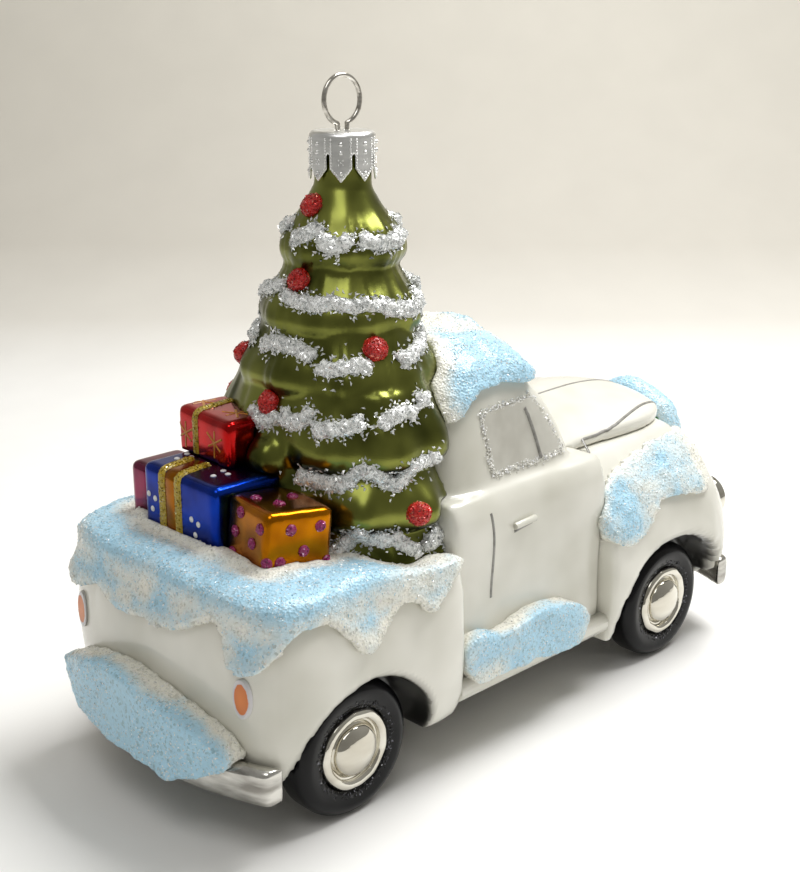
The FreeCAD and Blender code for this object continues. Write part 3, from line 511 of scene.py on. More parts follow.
def turned_cap(node):
    """Hubcap turned from its profile: a tall blown dome, a groove and a thick rolled rim."""
    low, high = (Vector(corner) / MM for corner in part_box(node))
    hub = (low + high) / 2
    outward = math.copysign(1.0, hub.y)
    radius, deep = (high.z - low.z) / 2, high.y - low.y
    # The profile is in shares of the radius and of the depth, from the pole to the back.
    profile = [(0.64 * math.sin(a), 0.25 + 0.75 * math.cos(a)) for a in np.linspace(0.0, math.pi / 2, 12)]
    profile += [(0.70, 0.12), (0.74, 0.14)]
    profile += [(0.87 - 0.13 * math.cos(a), 0.22 + 0.30 * math.sin(a)) for a in np.linspace(0.0, math.pi, 9)]
    profile += [(1.0, 0.0), (0.0, 0.0)]
    bm = bmesh.new()
    line = [bm.verts.new((share * radius, (rise - 0.5) * deep * outward, 0.0)) for share, rise in profile]
    for pair in zip(line, line[1:]):
        bm.edges.new(pair)
    bmesh.ops.spin(bm, geom=bm.verts[:] + bm.edges[:], axis=(0, 1, 0), cent=(0, 0, 0), angle=math.tau, steps=56,
                   use_merge=True)
    bmesh.ops.remove_doubles(bm, verts=bm.verts, dist=0.01)
    for vert in bm.verts:
        reach = math.hypot(vert.co.x, vert.co.z) / radius
        uneven = 1.0 - 0.035 * reach * (1.0 + noise.noise(vert.co.normalized() * 3.0 + hub))
        vert.co = (hub + Vector((vert.co.x * uneven, vert.co.y, vert.co.z * uneven))) * MM
    bmesh.ops.recalc_face_normals(bm, faces=bm.faces)
    return finished(bm, node + "_turned", 35)


for side, _ in SIDES:
    dressed("side_pane_" + side, "side_window_" + side, pane_grey, 0.12)
    dressed("door_pull_" + side, "door_handle_" + side, pearl, 0.05)
    dressed("sill_board_" + side, "running_board_" + side, pearl)
    dressed("nose_lamp_" + side, "headlamp_" + side, mirror, 0.0, 25)
dressed("front_pane", "windscreen", pane_grey, 0.12)
dressed("nose_grille", "grille", bumper_silver)
# Painted shade: the pan under the truck is grey.
dressed("truck_pan", "underbody", underside_shade_grey)
for end in ENDS:
    bar = glass_skin(end + "_bar", [end + "_bumper"], 0.45, 36)
    put(end + "_bar", bar, bumper_silver, [end + "_bumper"])
    for side, _ in SIDES:
        tag = end + "_" + side
        dressed("black_tyre_" + tag, "tyre_" + tag, tyre_black)
        put("mirror_hubcap_" + tag, turned_cap("hubcap_" + tag), mirror, ["hubcap_" + tag])
print("small forms dressed")

# %% [markdown]
# The fir is one blown form whose tiers lap over each other. Its lobes are moulded in the imported solid.
# The skin softens them, and fine vertical flutes are pressed in on top, as the mould has them. They
# die out below the smooth neck. The lacquer is painted darker where a tier turns under, as painted shade.

# %% Fir
TRUNK_X = -18.6
FLUTES = 27
FLUTE_MM = 0.16
NECK_FOOT_MM = 91.0
FLUTES_END_MM = 3.0


def fir_flutes(mesh):
    """Presses wavering flutes into the fir and keeps how far each place turns under, for painted shade."""
    places, normals = corners(mesh)
    x, y, z = (places / MM).T
    shift = np.zeros((len(places), 3))
    for i, (place, normal) in enumerate(zip(places, normals)):
        around = math.atan2(y[i], x[i] - TRUNK_X)
        low = noise.noise(Vector((math.cos(around) * 3.0, math.sin(around) * 3.0, z[i] * 0.06)))
        flute = math.sin(around * FLUTES + low * 6.0) * 0.5 + noise.noise(Vector(place) * 260.0)
        away = min(1.0, max(0.0, (NECK_FOOT_MM - z[i]) / FLUTES_END_MM))
        shift[i] = normal * flute * FLUTE_MM * MM * away
    move(mesh, places + shift)
    # Painted shade: the fir's lacquer darkens where a face turns down.
    store(mesh, "airbrush_and_painted_shade", np.clip((-normals[:, 2] - 0.12) * 1.6, 0.0, 1.0))


fir_skin = glass_skin("fir_glass", ["tree"], 0.64, 2)
fir_flutes(fir_skin)
put("fir_glass", fir_skin, fir_green, ["tree"])
print("fir", len(fir_skin.polygons))

# %% [markdown]
# Each gift is blown as a box with soft edges and keeps its own colour of lacquer.

# %% Gifts
GIFTS = {}
for hue, lacquered in (("blue", gift_blue), ("red", gift_red), ("gold", gift_gold), ("magenta", gift_magenta)):
    gift = "gift_" + hue
    GIFTS[gift] = glass_skin(gift + "_glass", [gift], 0.4, 6)
    put(gift + "_glass", GIFTS[gift], lacquered, [gift])
print("gifts", {name: len(mesh.polygons) for name, mesh in GIFTS.items()})

# %% [markdown]
# A grain of glitter is a small chip with four faces. One chip is made by an operator and repeated with
# its own turn, size and tone. All the chips of one patch are a single mesh, which keeps the scene light.

# %% Chips of glass glitter
CHIP_TILT = 0.42
CHIP_SIZES = (0.65, 1.35)
CHIP_FLATNESS = (0.85, 0.42)


def chip_shape():
    """Four-faced splinter on a base of radius 1.2, as arrays of corners and faces."""
    bm = bmesh.new()
    bmesh.ops.create_cone(bm, cap_ends=True, cap_tris=True, segments=3, radius1=1.2, radius2=0.0, depth=1.7)
    bmesh.ops.triangulate(bm, faces=bm.faces)
    bm.verts.index_update()
    points = np.array([v.co[:] for v in bm.verts])
    faces = np.array([[v.index for v in f.verts] for f in bm.faces])
    bm.free()
    return points, faces


CHIP_POINTS, CHIP_FACES = chip_shape()


def chips(name, places_mm, normals, size_mm, hue, slot, seed, needle=1.0):
    """Chips that lie tilted on a surface; a needle above one draws them out."""
    draw = np.random.default_rng(seed)
    count = len(places_mm)
    up = normals + draw.normal(0.0, CHIP_TILT, (count, 3))
    up /= np.linalg.norm(up, axis=1, keepdims=True)
    ahead = draw.normal(0.0, 1.0, (count, 3))
    ahead -= up * (ahead * up).sum(axis=1, keepdims=True)
    ahead /= np.linalg.norm(ahead, axis=1, keepdims=True)
    aside = np.cross(up, ahead)
    size = size_mm * draw.uniform(*CHIP_SIZES, (count, 1, 1))
    shape = CHIP_POINTS[None, :, :] * np.array([needle, *CHIP_FLATNESS]) * size
    corners_mm = (places_mm[:, None, :] + shape[:, :, 0:1] * ahead[:, None, :]
                  + shape[:, :, 1:2] * aside[:, None, :] + shape[:, :, 2:3] * up[:, None, :])
    faces = (CHIP_FACES[None, :, :] + (np.arange(count) * len(CHIP_POINTS))[:, None, None]).reshape(-1, 3)
    mesh = bpy.data.meshes.new(name)
    mesh.from_pydata((corners_mm.reshape(-1, 3) * MM).tolist(), [], faces.tolist())
    store(mesh, "tone", np.repeat(draw.uniform(0.0, 1.0, count) ** 0.8, len(CHIP_POINTS)))
    put(name, mesh, CHIPS[hue])


def scatter(mesh, per_mm2, seed):
    """Evenly random places on a mesh, with the face normal and the corner that lies nearest."""
    draw = np.random.default_rng(seed)
    mesh.calc_loop_triangles()
    faces = np.empty(len(mesh.loop_triangles) * 3, dtype=np.int64)
    mesh.loop_triangles.foreach_get("vertices", faces)
    faces = faces.reshape(-1, 3)
    places, _ = corners(mesh)
    a, b, c = (places[faces[:, i]] / MM for i in range(3))
    cross = np.cross(b - a, c - a)
    area = np.linalg.norm(cross, axis=1) / 2.0
    chosen = draw.choice(len(faces), int(area.sum() * per_mm2), p=area / area.sum())
    u, v = draw.uniform(0, 1, (2, len(chosen), 1))
    flip = u + v > 1
    u, v = np.where(flip, 1 - u, u), np.where(flip, 1 - v, v)
    spots = a[chosen] + u * (b - a)[chosen] + v * (c - a)[chosen]
    normals = cross[chosen] / (2.0 * area[chosen][:, None] + 1e-12)
    return spots, normals, faces[chosen, 0]


def wavy(place, waves):
    """Waves of noise at a place; each has a scale per metre and a height in millimetres."""
    return sum(noise.noise(Vector(place) * scale) * high for scale, high in waves)


def lumpy(mesh, waves, keep=1.0):
    """Uneven surface of poured glue, moved where it is kept."""
    places, normals = corners(mesh)
    lump = np.array([wavy(place, waves) for place in places])
    move(mesh, places + normals * (lump * keep)[:, None] * MM)


print("chip has", len(CHIP_FACES), "faces")

# %% [markdown]
# Snow is a heap of glue under crushed glass. Blue grains were shaken onto the middle of each drift and
# clear ones round its edge, so the tint of a place follows its distance from the edge of the drift, and
# a slow noise breaks that line. The drift's own solid is wrapped like the glass and made lumpy.

# %% Snow drifts
BODY_TREE = tree_of([*SKINS.values(), fir_skin, *GIFTS.values()])
BORDER_MM = 1.7
TINT_FADE_MM = 2.6
# A drift whose edge doesn't meet the glass counts as this far inside.
NO_EDGE_MM = 5.0
SNOW_PER_MM2 = 3.3
SNOW_CHIP_MM = 0.23
SNOW_WAVES = ((110.0, 0.5), (260.0, 0.4), (900.0, 0.16))
TINT_WAVES = ((90.0, 2.0), (420.0, 0.7))
# A place counts as edge or as buried only this near the glass, and is searched for no further out.
EDGE_GAP_MM = 0.7
BURIED_GAP_MM = 1.5
BURIED_SHARE = 0.3
GLASS_REACH_MM = 4.0
# Each drift has its share of the clear border.
DRIFTS = {
    "bed_snow": 0.5, "roof_snow": 1.0, "rear_bumper_snow": 1.0, "front_fender_snow_right": 0.25,
    "front_fender_snow_left": 0.25, "running_board_snow_right": 0.7, "running_board_snow_left": 0.7,
    "wreath_snow": 0.8,
}
# Each trim is a plane, by a place in millimetres and its outward direction.
TRIMS = {"rear_bumper_snow": (((-60, 22, 18.5), (0, 7, -7.5)), ((-60, 10, 11.4), (0, 0.6, -8)),
                              ((-60, -22, 12.5), (0, -5, -6)))}


def trimmed(node):
    """Copy of a drift without the corners that the brush left bare."""
    bm = cad_copy([node])
    for place, toward in TRIMS.get(node, ()):
        bmesh.ops.bisect_plane(bm, geom=bm.verts[:] + bm.edges[:] + bm.faces[:], plane_co=Vector(place) * MM,
                               plane_no=Vector(toward), clear_outer=True)
        bmesh.ops.holes_fill(bm, edges=[edge for edge in bm.edges if edge.is_boundary])
    return finished(bm, node + "_blank")


def drift_tint(mesh, border_mm):
    """Zero at the edge of a drift, one well inside it, broken up by noise."""
    places, normals = corners(mesh)
    edge = []
    buried = np.zeros(len(places), dtype=bool)
    for i, (place, normal) in enumerate(zip(places, normals)):
        near, _, _, gap = BODY_TREE.find_nearest(Vector(place), GLASS_REACH_MM * MM)
        if near is None:
            continue
        inward = (near - Vector(place)).dot(Vector(normal))
        buried[i] = inward > BURIED_SHARE * gap and gap < BURIED_GAP_MM * MM
        if gap < EDGE_GAP_MM * MM and not buried[i]:
            edge.append(i)
    finder = KDTree(max(1, len(edge)))
    for i in edge:
        finder.insert(Vector(places[i]), i)
    finder.balance()
    tint = []
    for place in places:
        away = finder.find(Vector(place))[2] / MM if edge else NO_EDGE_MM
        tint.append((away + wavy(place, TINT_WAVES) - border_mm) / TINT_FADE_MM)
    return np.clip(tint, 0.0, 1.0), buried


def make_drift(node, border_mm, seed):
    """Lumpy layer and loose chips of one drift."""
    mesh = wrapped(node + "_layer", trimmed(node), 0.58, 2)
    tint, buried = drift_tint(mesh, border_mm)
    lumpy(mesh, SNOW_WAVES, ~buried)
    store(mesh, "tint", tint)
    put(node + "_layer", mesh, BEDS["snow"], [node])
    spots, facing, corner = scatter(mesh, SNOW_PER_MM2, seed)
    shown = ~buried[corner]
    spots, facing, corner = spots[shown], facing[shown], corner[shown]
    draw = np.random.default_rng(seed + 1)
    blue = draw.uniform(0, 1, len(spots)) < tint[corner] * 0.8
    chips(node + "_blue_chips", spots[blue], facing[blue], SNOW_CHIP_MM, "blue", "snow_glitter", seed + 2)
    chips(node + "_clear_chips", spots[~blue], facing[~blue], SNOW_CHIP_MM, "snow", "snow_glitter", seed + 3)
    print(node, len(mesh.polygons), "faces", len(spots), "chips")


for rank, (node, border) in enumerate(DRIFTS.items()):
    make_drift(node, BORDER_MM * border, 100 + 10 * rank)

# %% [markdown]
# Glitter on raised glue is put on in the same way everywhere: the glue form gets its layer, and chips
# lie on it where it stands out of what carries it, since a chip that is buried shows nothing.

# %% Glitter on glue


def standing_out(spots, facing, carrier, least_mm=0.05):
    """Places that lie outside what carries them."""
    keep = []
    for spot in spots:
        near, normal, _, _ = carrier.find_nearest(Vector(spot) * MM)
        keep.append((Vector(spot) * MM - near).dot(normal) > least_mm * MM)
    keep = np.array(keep, dtype=bool)
    return spots[keep], facing[keep]


def glittered(name, mesh, hue, per_mm2, grain_mm, slot, seed, carrier):
    """A glue form with its glitter: the form itself and the chips that stand on it."""
    store(mesh, "tint", 1.0)
    put(name, mesh, BEDS[hue])
    spots, facing, _ = scatter(mesh, per_mm2, seed)
    spots, facing = standing_out(spots, facing, carrier)
    chips(name + "_chips", spots, facing, grain_mm, hue, slot, seed + 1)
    print(name, len(spots), "chips")


def settled(hits):
    """Places in millimetres and normals, from hits on a search tree."""
    return np.array([place[:] for place, _ in hits]) / MM, np.array([normal[:] for _, normal in hits])


print("glitter helpers ready")

# %% [markdown]
# Paint laid by brush stands up a little and is round at its ends. A stroke is drawn as a round bead along
# a route that is first dropped onto the glass, and then the bead is pressed flat. Dots and star rays are
# made the same way.

# %% Brush strokes


def dropped(route_mm, carrier, step_mm=0.5):
    """Points of a route at even steps, each on the nearest place of the carrier."""
    points = []
    for start, end in zip(route_mm, route_mm[1:]):
        start, end = Vector(start), Vector(end)
        steps = max(1, round((end - start).length / step_mm))
        points += [start.lerp(end, i / steps) for i in range(steps)]
    points.append(Vector(route_mm[-1]))
    return [carrier.find_nearest(point * MM)[0] for point in points]


def bead(points, radius_mm):
    """Round closed bead of paint along some points."""
    curve = bpy.data.curves.new("bead", "CURVE")
    curve.dimensions = "3D"
    curve.bevel_depth = radius_mm * MM
    curve.bevel_resolution = 1
    curve.use_fill_caps = True
    spline = curve.splines.new("POLY")
    spline.points.add(len(points) - 1)
    for knot, point in zip(spline.points, points):
        knot.co = (*point, 1.0)
    holder = bpy.data.objects.new("bead", curve)
    mesh = bpy.data.meshes.new_from_object(holder)
    bpy.data.objects.remove(holder)
    return mesh


def flattened(bm, name, carrier, flat):
    """Mesh of beads or dabs, flattened where they stand above the carrier."""
    for vert in bm.verts:
        near, normal, _, _ = carrier.find_nearest(vert.co)
        rise = (vert.co - near).dot(normal)
        vert.co += normal * rise * (flat - 1.0)
    return finished(bm, name, 80)


def pressed(name, meshes, carrier, flat):
    """One mesh of all beads, pressed onto the carrier."""
    bm = bmesh.new()
    for mesh in meshes:
        bm.from_mesh(mesh)
    bmesh.ops.remove_doubles(bm, verts=bm.verts, dist=0.01 * MM)
    bmesh.ops.recalc_face_normals(bm, faces=bm.faces)
    return flattened(bm, name, carrier, flat)


def strokes(name, routes_mm, radius_mm, flat, carrier):
    """Brush strokes along some routes."""
    return pressed(name, [bead(dropped(route, carrier), radius_mm) for route in routes_mm], carrier, flat)


def dabs(name, places, radius_mm, flat, carrier):
    """Round dabs of paint or glue at some places."""
    bm = bmesh.new()
    for place in places:
        bmesh.ops.create_icosphere(bm, subdivisions=2, radius=radius_mm * MM, matrix=Matrix.Translation(place))
    return flattened(bm, name, carrier, flat)


print("brush ready")

# %% [markdown]
# The garlands are strokes of glue with silver glitter, laid by hand on the lip of each tier. A stroke has
# the angles round the trunk where it starts and ends, and its height at its start, middle and end. The
# far side repeats the strokes that show. The baubles are red dabs, given by angle and height too. Loose
# chips stray off the garlands, as they do when glitter is shaken on by hand.

# %% Garlands and baubles on the fir
STROKES = (
    (140, 158, 87.2, 87.8, 88.2), (175, 203, 86.1, 86.8, 88.1), (206, 234, 86.5, 85.4, 86.7),
    (243, 304, 86.4, 85.6, 86.4),
    (138, 173, 77.2, 77.8, 78.8), (178, 224, 77.6, 76.8, 77.2), (225, 246, 77.0, 76.4, 77.3),
    (249, 310, 76.8, 75.2, 76.4),
    (130, 152, 70.5, 70.0, 69.5), (165, 209, 69.1, 70.2, 68.8), (213, 230, 67.7, 67.3, 68.3),
    (232, 243, 68.2, 67.9, 67.7), (260, 300, 68.0, 69.0, 69.8),
    (170, 189, 59.2, 58.0, 59.4), (192, 211, 59.9, 58.8, 61.4), (212, 237, 58.2, 58.8, 59.9),
    (243, 262, 59.2, 61.0, 60.2), (264, 272, 62.0, 62.0, 61.8),
    (203, 229, 50.4, 50.0, 50.0), (229, 244, 50.2, 52.5, 50.6), (246, 255, 50.4, 50.0, 52.6),
    (255, 270, 52.6, 53.0, 53.3),
    (217, 234, 39.0, 39.6, 43.6), (235, 245, 41.3, 41.6, 40.9), (247, 257, 41.8, 40.0, 39.1),
    (261, 280, 38.7, 40.5, 43.0),
)
STROKE_RADIUS = 1.4
STRAYS_PER_MM2 = 2.2
STRAY_REACH_MM = 0.7
STRAY_SEED = 310
BAUBLES = ((178, 90.9), (186, 79.7), (247, 70.1), (181, 60.8), (256, 45.6), (135, 66.0), (60, 88.0), (20, 77.5),
           (95, 68.0), (110, 57.0), (80, 46.0))
BAUBLE_RADIUS = 2.1
FIR_TREE = tree_of([fir_skin])


def on_fir(angle, z_mm):
    """Place on the fir, seen straight in towards its trunk."""
    out = Vector((math.cos(math.radians(angle)), math.sin(math.radians(angle)), 0.0))
    start = Vector((TRUNK_X, 0.0, z_mm)) * MM + out * 45.0 * MM
    return FIR_TREE.ray_cast(start, -out)[0] / MM


def stroke_route(stroke, turn):
    """Seven places along a stroke, at heights on a parabola through its three."""
    start, end, low, middle, high = stroke
    route = []
    for step in range(7):
        t = step / 6
        z = low * (1 - t) * (1 - 2 * t) + middle * 4 * t * (1 - t) + high * t * (2 * t - 1)
        route.append(on_fir(start + t * (end - start) + turn, z))
    return route


routes = [stroke_route(stroke, turn) for stroke in STROKES for turn in (0, 180)]
garland = wrapped("garland_glue", strokes("garland_beads", routes, STROKE_RADIUS, 0.75, FIR_TREE), 0.48, 1)
lumpy(garland, ((900.0, 0.5),))
glittered("garland_glue", garland, "silver", 7.0, 0.38, "snow_glitter", 300, FIR_TREE)

spots, _, _ = scatter(garland, STRAYS_PER_MM2, STRAY_SEED)
spots = spots + np.random.default_rng(STRAY_SEED).normal(0.0, STRAY_REACH_MM, spots.shape)
landed = []
for spot in spots:
    near, normal, _, _ = FIR_TREE.find_nearest(Vector(spot) * MM)
    landed.append((near + normal * 0.1 * MM, normal))
chips("garland_strays", *settled(landed), 0.28, "silver", "snow_glitter", STRAY_SEED + 1, needle=1.5)

bauble_dabs = dabs("bauble_dabs", [on_fir(*spot) * MM for spot in BAUBLES], BAUBLE_RADIUS, 0.8, FIR_TREE)
baubles = wrapped("bauble_glue", bauble_dabs, 0.3, 1)
lumpy(baubles, ((900.0, 0.2),))
glittered("bauble_glue", baubles, "red", 11.0, 0.24, "red_lacquer", 320, FIR_TREE)
print("strays", len(landed), "baubles", len(BAUBLES))

# %% [markdown]
# Places on a gift are given by a face and two shares, along that face and up it, so that the
# pattern keeps its place when a gift's size changes.

# %% Places on the gifts
GIFT_TREES = {gift: tree_of([mesh]) for gift, mesh in GIFTS.items()}
BLUE_TREE, RED_TREE, GOLD_TREE = (GIFT_TREES["gift_" + hue] for hue in ("blue", "red", "gold"))


def on_gift(gift, face, along, up):
    """Place on a gift: along from 0 to 1 left to right as seen, up from 0 to 1 (or rear to front)."""
    low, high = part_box(gift)
    size = Vector(high) - Vector(low)
    if face == "top":
        start = Vector((low[0] + up * size.x, high[1] - along * size.y, high[2] + MM))
        toward = Vector((0.0, 0.0, -1.0))
    elif face == "rear":
        start = Vector((low[0] - MM, high[1] - along * size.y, low[2] + up * size.z))
        toward = Vector((1.0, 0.0, 0.0))
    else:
        start = Vector((low[0] + along * size.x, low[1] - MM, low[2] + up * size.z))
        toward = Vector((0.0, 1.0, 0.0))
    return GIFT_TREES[gift].ray_cast(start, toward)[0] or GIFT_TREES[gift].find_nearest(start)[0]


def route_on(gift, *stations):
    """Route over a gift, in millimetres."""
    return [on_gift(gift, *station) / MM for station in stations]


print("gift places ready")

# %% [markdown]
# The blue gift has a gold band between two lines of gold glitter and groups of three white dots. The
# red one has a single line of gold glitter and thin six-rayed stars. The gold one has dabs of magenta
# glitter.

# %% Ribbons, dots and stars
BAND_ALONG = (0.40, 0.36)
BAND_EDGES = (0.28, 0.50)
DOT_GROUPS = (("rear", 0.13, 0.52), ("rear", 0.72, 0.42), ("top", 0.16, 0.42), ("top", 0.72, 0.36),
              ("right", 0.4, 0.6))
DOT_SPREAD = ((-0.045, 0.09), (0.045, 0.06), (0.0, -0.09))
STARS = (("rear", 0.16, 0.42), ("rear", 0.72, 0.46), ("top", 0.14, 0.4), ("top", 0.72, 0.4), ("right", 0.5, 0.5))
STAR_RADIUS = 2.5
DOT_RADIUS = 0.52
DAB_RADIUS = 0.95
GOLD_DABS = (("rear", 0.30, 0.86), ("rear", 0.74, 0.78), ("rear", 0.20, 0.58), ("rear", 0.58, 0.54),
             ("rear", 0.16, 0.28), ("rear", 0.52, 0.18), ("rear", 0.86, 0.36), ("right", 0.35, 0.74),
             ("right", 0.72, 0.70), ("right", 0.5, 0.42), ("right", 0.2, 0.34), ("right", 0.8, 0.2),
             ("top", 0.3, 0.35), ("top", 0.6, 0.45), ("top", 0.45, 0.75))


def band_route(along_rear, along_top):
    """Route up the rear of the blue gift and over its top."""
    return route_on("gift_blue", ("rear", along_rear, 0.06), ("rear", along_rear, 0.92), ("top", along_rear, 0.08),
                    ("top", along_top, 0.45))


band = strokes("blue_gift_band", [band_route(*BAND_ALONG)], 1.6, 0.12, BLUE_TREE)
store(band, "airbrush_and_painted_shade", 0.25)
put("blue_gift_band", band, gift_gold)
edges = strokes("blue_gift_ribbon", [band_route(along, along - 0.04) for along in BAND_EDGES], 0.85, 0.5, BLUE_TREE)
glittered("blue_gift_ribbon", edges, "gold", 10.0, 0.22, "gold_lacquer", 400, BLUE_TREE)
red_route = route_on("gift_red", ("rear", 0.36, 0.06), ("rear", 0.36, 0.9), ("top", 0.36, 0.1), ("top", 0.36, 0.92))
red_line = strokes("red_gift_ribbon", [red_route], 0.75, 0.5, RED_TREE)
glittered("red_gift_ribbon", red_line, "gold", 10.0, 0.22, "gold_lacquer", 410, RED_TREE)

dots = [on_gift("gift_blue", face, along + a, up + b) for face, along, up in DOT_GROUPS for a, b in DOT_SPREAD]
put("blue_gift_dots", dabs("blue_gift_dots", dots, DOT_RADIUS, 0.45, BLUE_TREE), dot_white)

rays = []
for face, along, up in STARS:
    heart = on_gift("gift_red", face, along, up)
    normal = RED_TREE.find_nearest(heart)[1]
    first = normal.orthogonal().normalized()
    for i in range(6):
        ray = Matrix.Rotation(math.radians(60 * i + 12), 3, normal) @ first
        reach = STAR_RADIUS * (1.0 if i % 2 else 0.8)
        rays.append([heart / MM, heart / MM + ray * reach])
put("red_gift_stars", strokes("red_gift_stars", rays, 0.2, 0.5, RED_TREE), star_ochre)

gold_dabs = dabs("gold_gift_dabs", [on_gift("gift_gold", *dab) for dab in GOLD_DABS], DAB_RADIUS, 0.5, GOLD_TREE)
glittered("gold_gift_dabs", gold_dabs, "magenta", 10.0, 0.2, "magenta_lacquer", 420, GOLD_TREE)

# %% [markdown]
# Grey lines are painted on the white glass: the rear edge of each door, and on the hood its two side
# seams and its middle fold. A short grey line under each handle is its painted shadow. They are a
# little over half a millimetre wide.

# %% Painted lines on the truck
TRUCK_TREE = tree_of(SKINS.values())
DOOR_LINE = ((-9.6, 42.5), (-9.3, 36.0), (-8.9, 27.0))
# Painted shadow: the short grey line under each handle.
HANDLE_SHADOW = ((-4.0, 37.6), (0.6, 38.1))
HOOD_SEAM = ((21.5, 19.6, 46.0), (34.0, 16.6, 46.2), (46.0, 13.2, 46.0), (52.0, 11.8, 45.6), (54.6, 12.8, 45.0))
HOOD_FOLD = ((27.0, 0.0, 49.6), (40.0, 0.2, 49.2), (52.0, 0.0, 48.6), (57.5, 0.0, 47.6))
lines = [HOOD_FOLD]
for _, sign in SIDES:
    lines.append([(x, sign * 26.0, z) for x, z in DOOR_LINE])
    lines.append([(x, sign * 26.0, z) for x, z in HANDLE_SHADOW])
    lines.append([(x, sign * y, z) for x, y, z in HOOD_SEAM])
put("grey_lines", strokes("grey_lines", lines, 0.32, 0.4, TRUCK_TREE), line_grey)
print("painted lines", len(lines))

# %% [markdown]
# The tail lamps are flat dabs on the rounded rear corners. Their solids are pressed down to about a
# third of their height, and each place keeps how far it is from the lamp's middle.

# %% Tail lamps
LAMP_MIDDLE = (21.6, 25.4)
LAMP_REACH = (1.8, 3.2)
for side, _ in SIDES:
    fine = glass_skin("tail_light_" + side, ["tail_lamp_" + side], 0.16, 1)
    lamp = pressed("tail_light_" + side, [fine], TRUCK_TREE, 0.35)
    places = corners(lamp)[0] / MM
    store(lamp, "oval", np.hypot((np.abs(places[:, 1]) - LAMP_MIDDLE[0]) / LAMP_REACH[0],
                                 (places[:, 2] - LAMP_MIDDLE[1]) / LAMP_REACH[1]))
    put("tail_light_" + side, lamp, lamp_orange, ["tail_lamp_" + side])
print("tail lamps")

# %% [markdown]
# Clear crystals frame each side window. They follow the outer rim of the pane, found as the sharp edges
# of its outer face. A dark bar divides off the quarter light.

# %% Window frames
DIVIDER = ((3.6, 57.2), (6.6, 47.4))
CRYSTALS_PER_MM = 30.0
for side, sign in SIDES:
    bm = cad_copy(["side_window_" + side])
    bm.normal_update()
    rim = []
    for edge in bm.edges:
        if len(edge.link_faces) == 2 and edge.calc_face_angle() > 0.8:
            if max(face.normal.y * sign for face in edge.link_faces) > 0.6:
                rim.append((edge.verts[0].co.copy(), edge.verts[1].co.copy()))
    bm.free()
    draw = np.random.default_rng(500 + sign)
    hits = []
    for start, end in rim:
        for _ in range(int((end - start).length / MM * CRYSTALS_PER_MM + draw.uniform(0, 1))):
            spot = start.lerp(end, draw.uniform(0, 1)) + Vector(draw.normal(0.0, 0.42 * MM, 3))
            near, normal, _, _ = TRUCK_TREE.find_nearest(spot)
            hits.append((near + normal * draw.uniform(0.05, 0.35) * MM, normal))
    chips("window_crystals_" + side, *settled(hits), 0.24, "snow", "snow_glitter", 510 + sign)
    pane_tree = tree_of([NODES["side_window_" + side].data])
    bar = strokes("window_bar_" + side, [[(x, sign * 24.0, z) for x, z in DIVIDER]], 0.4, 1.0, pane_tree)
    put("window_bar_" + side, bar, line_grey)
    print("window", side, len(hits), "crystals on", len(rim), "rim edges")

# %% [markdown]
# A ring of black glitter is pressed into each tyre round its hubcap.

# %% Black glitter rings
RING_MM = (6.9, 8.1)
RING_CHIPS = 520
for end in ENDS:
    for side, sign in SIDES:
        tag = end + "_" + side
        low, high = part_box("tyre_" + tag)
        hub = (Vector(low) + Vector(high)) / 2
        tyre_tree = tree_of([NODES["tyre_" + tag].data])
        draw = np.random.default_rng(600)
        hits = []
        for turn, reach in zip(draw.uniform(0, math.tau, RING_CHIPS), draw.uniform(*RING_MM, RING_CHIPS)):
            start = Vector((hub.x / MM + reach * math.cos(turn), sign * 40.0, hub.z / MM + reach * math.sin(turn)))
            near, normal, _, _ = tyre_tree.ray_cast(start * MM, Vector((0.0, -sign, 0.0)))
            if near is not None:
                hits.append((near, normal))
        chips("black_ring_" + tag, *settled(hits), 0.22, "black", "black_lacquer", 610)
        print("ring", tag, len(hits))

# %% [markdown]
# The wreath is a ring of short leaves in gloss green under its own drift of snow.

# %% Wreath
wreath = glass_skin("wreath_ring", ["wreath"], 0.4, 2)
lumpy(wreath, ((500.0, 0.4),))
store(wreath, "airbrush_and_painted_shade", 0.4)
put("wreath_ring", wreath, wreath_green, ["wreath"])
spots, facing, _ = scatter(wreath, 5.0, 700)
spots, facing = standing_out(spots, facing, TRUCK_TREE)
chips("wreath_leaves", spots, facing, 0.34, "leaf", "wreath_green", 701, needle=2.6)
print("wreath leaves", len(spots))

# %% [markdown]
# The crown cap is stamped sheet with a rounded shoulder and beads pressed along the borders of its
# pointed tabs, with larger domes down the middle of each tab and a small cross between. The places of
# the beads follow from the tab's width and the slits, and each is dropped straight in onto the sheet.

# %% Cap and wire
CAP_TABS = 8
CAP_RADIUS = 5.3
TAB_HALF = 1.6
CAP_LOW, CAP_HIGH = (np.array(corner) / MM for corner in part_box("cap"))
TAB_FOOT_Z = CAP_LOW[2]
TAB_TURN_Z = TAB_FOOT_Z + 2.3
TAB_TOP_Z = TAB_FOOT_Z + 6.7
TAB_POINT_Z = TAB_FOOT_Z + 0.55
BEAD_PITCH = 0.44
BEAD_RADIUS = 0.2
DOME_RADIUS = 0.36
DOME_RISES = (1.5, 4.7, 6.0)
CROSS = ((0.0, 3.2), (0.34, 3.55), (-0.34, 3.55), (0.34, 2.85), (-0.34, 2.85))
CROSS_RADIUS = 0.14
SHOULDER_MM = 0.95
crown = glass_skin("crown_cap", ["cap"], 0.19, 1)
places = corners(crown)[0] / MM
aside = places[:, :2] - (TRUNK_X, 0.0)
reach = np.hypot(*aside.T)
past = np.maximum(reach - ((CAP_HIGH[1] - CAP_LOW[1]) / 2 - SHOULDER_MM), 0.0)
above = np.maximum(places[:, 2] - (CAP_HIGH[2] - SHOULDER_MM), 0.0)
pull = np.where(past * above > 0, np.minimum(SHOULDER_MM / np.maximum(np.hypot(past, above), 0.001), 1.0), 1.0)
places[:, 2] -= above * (1.0 - pull)
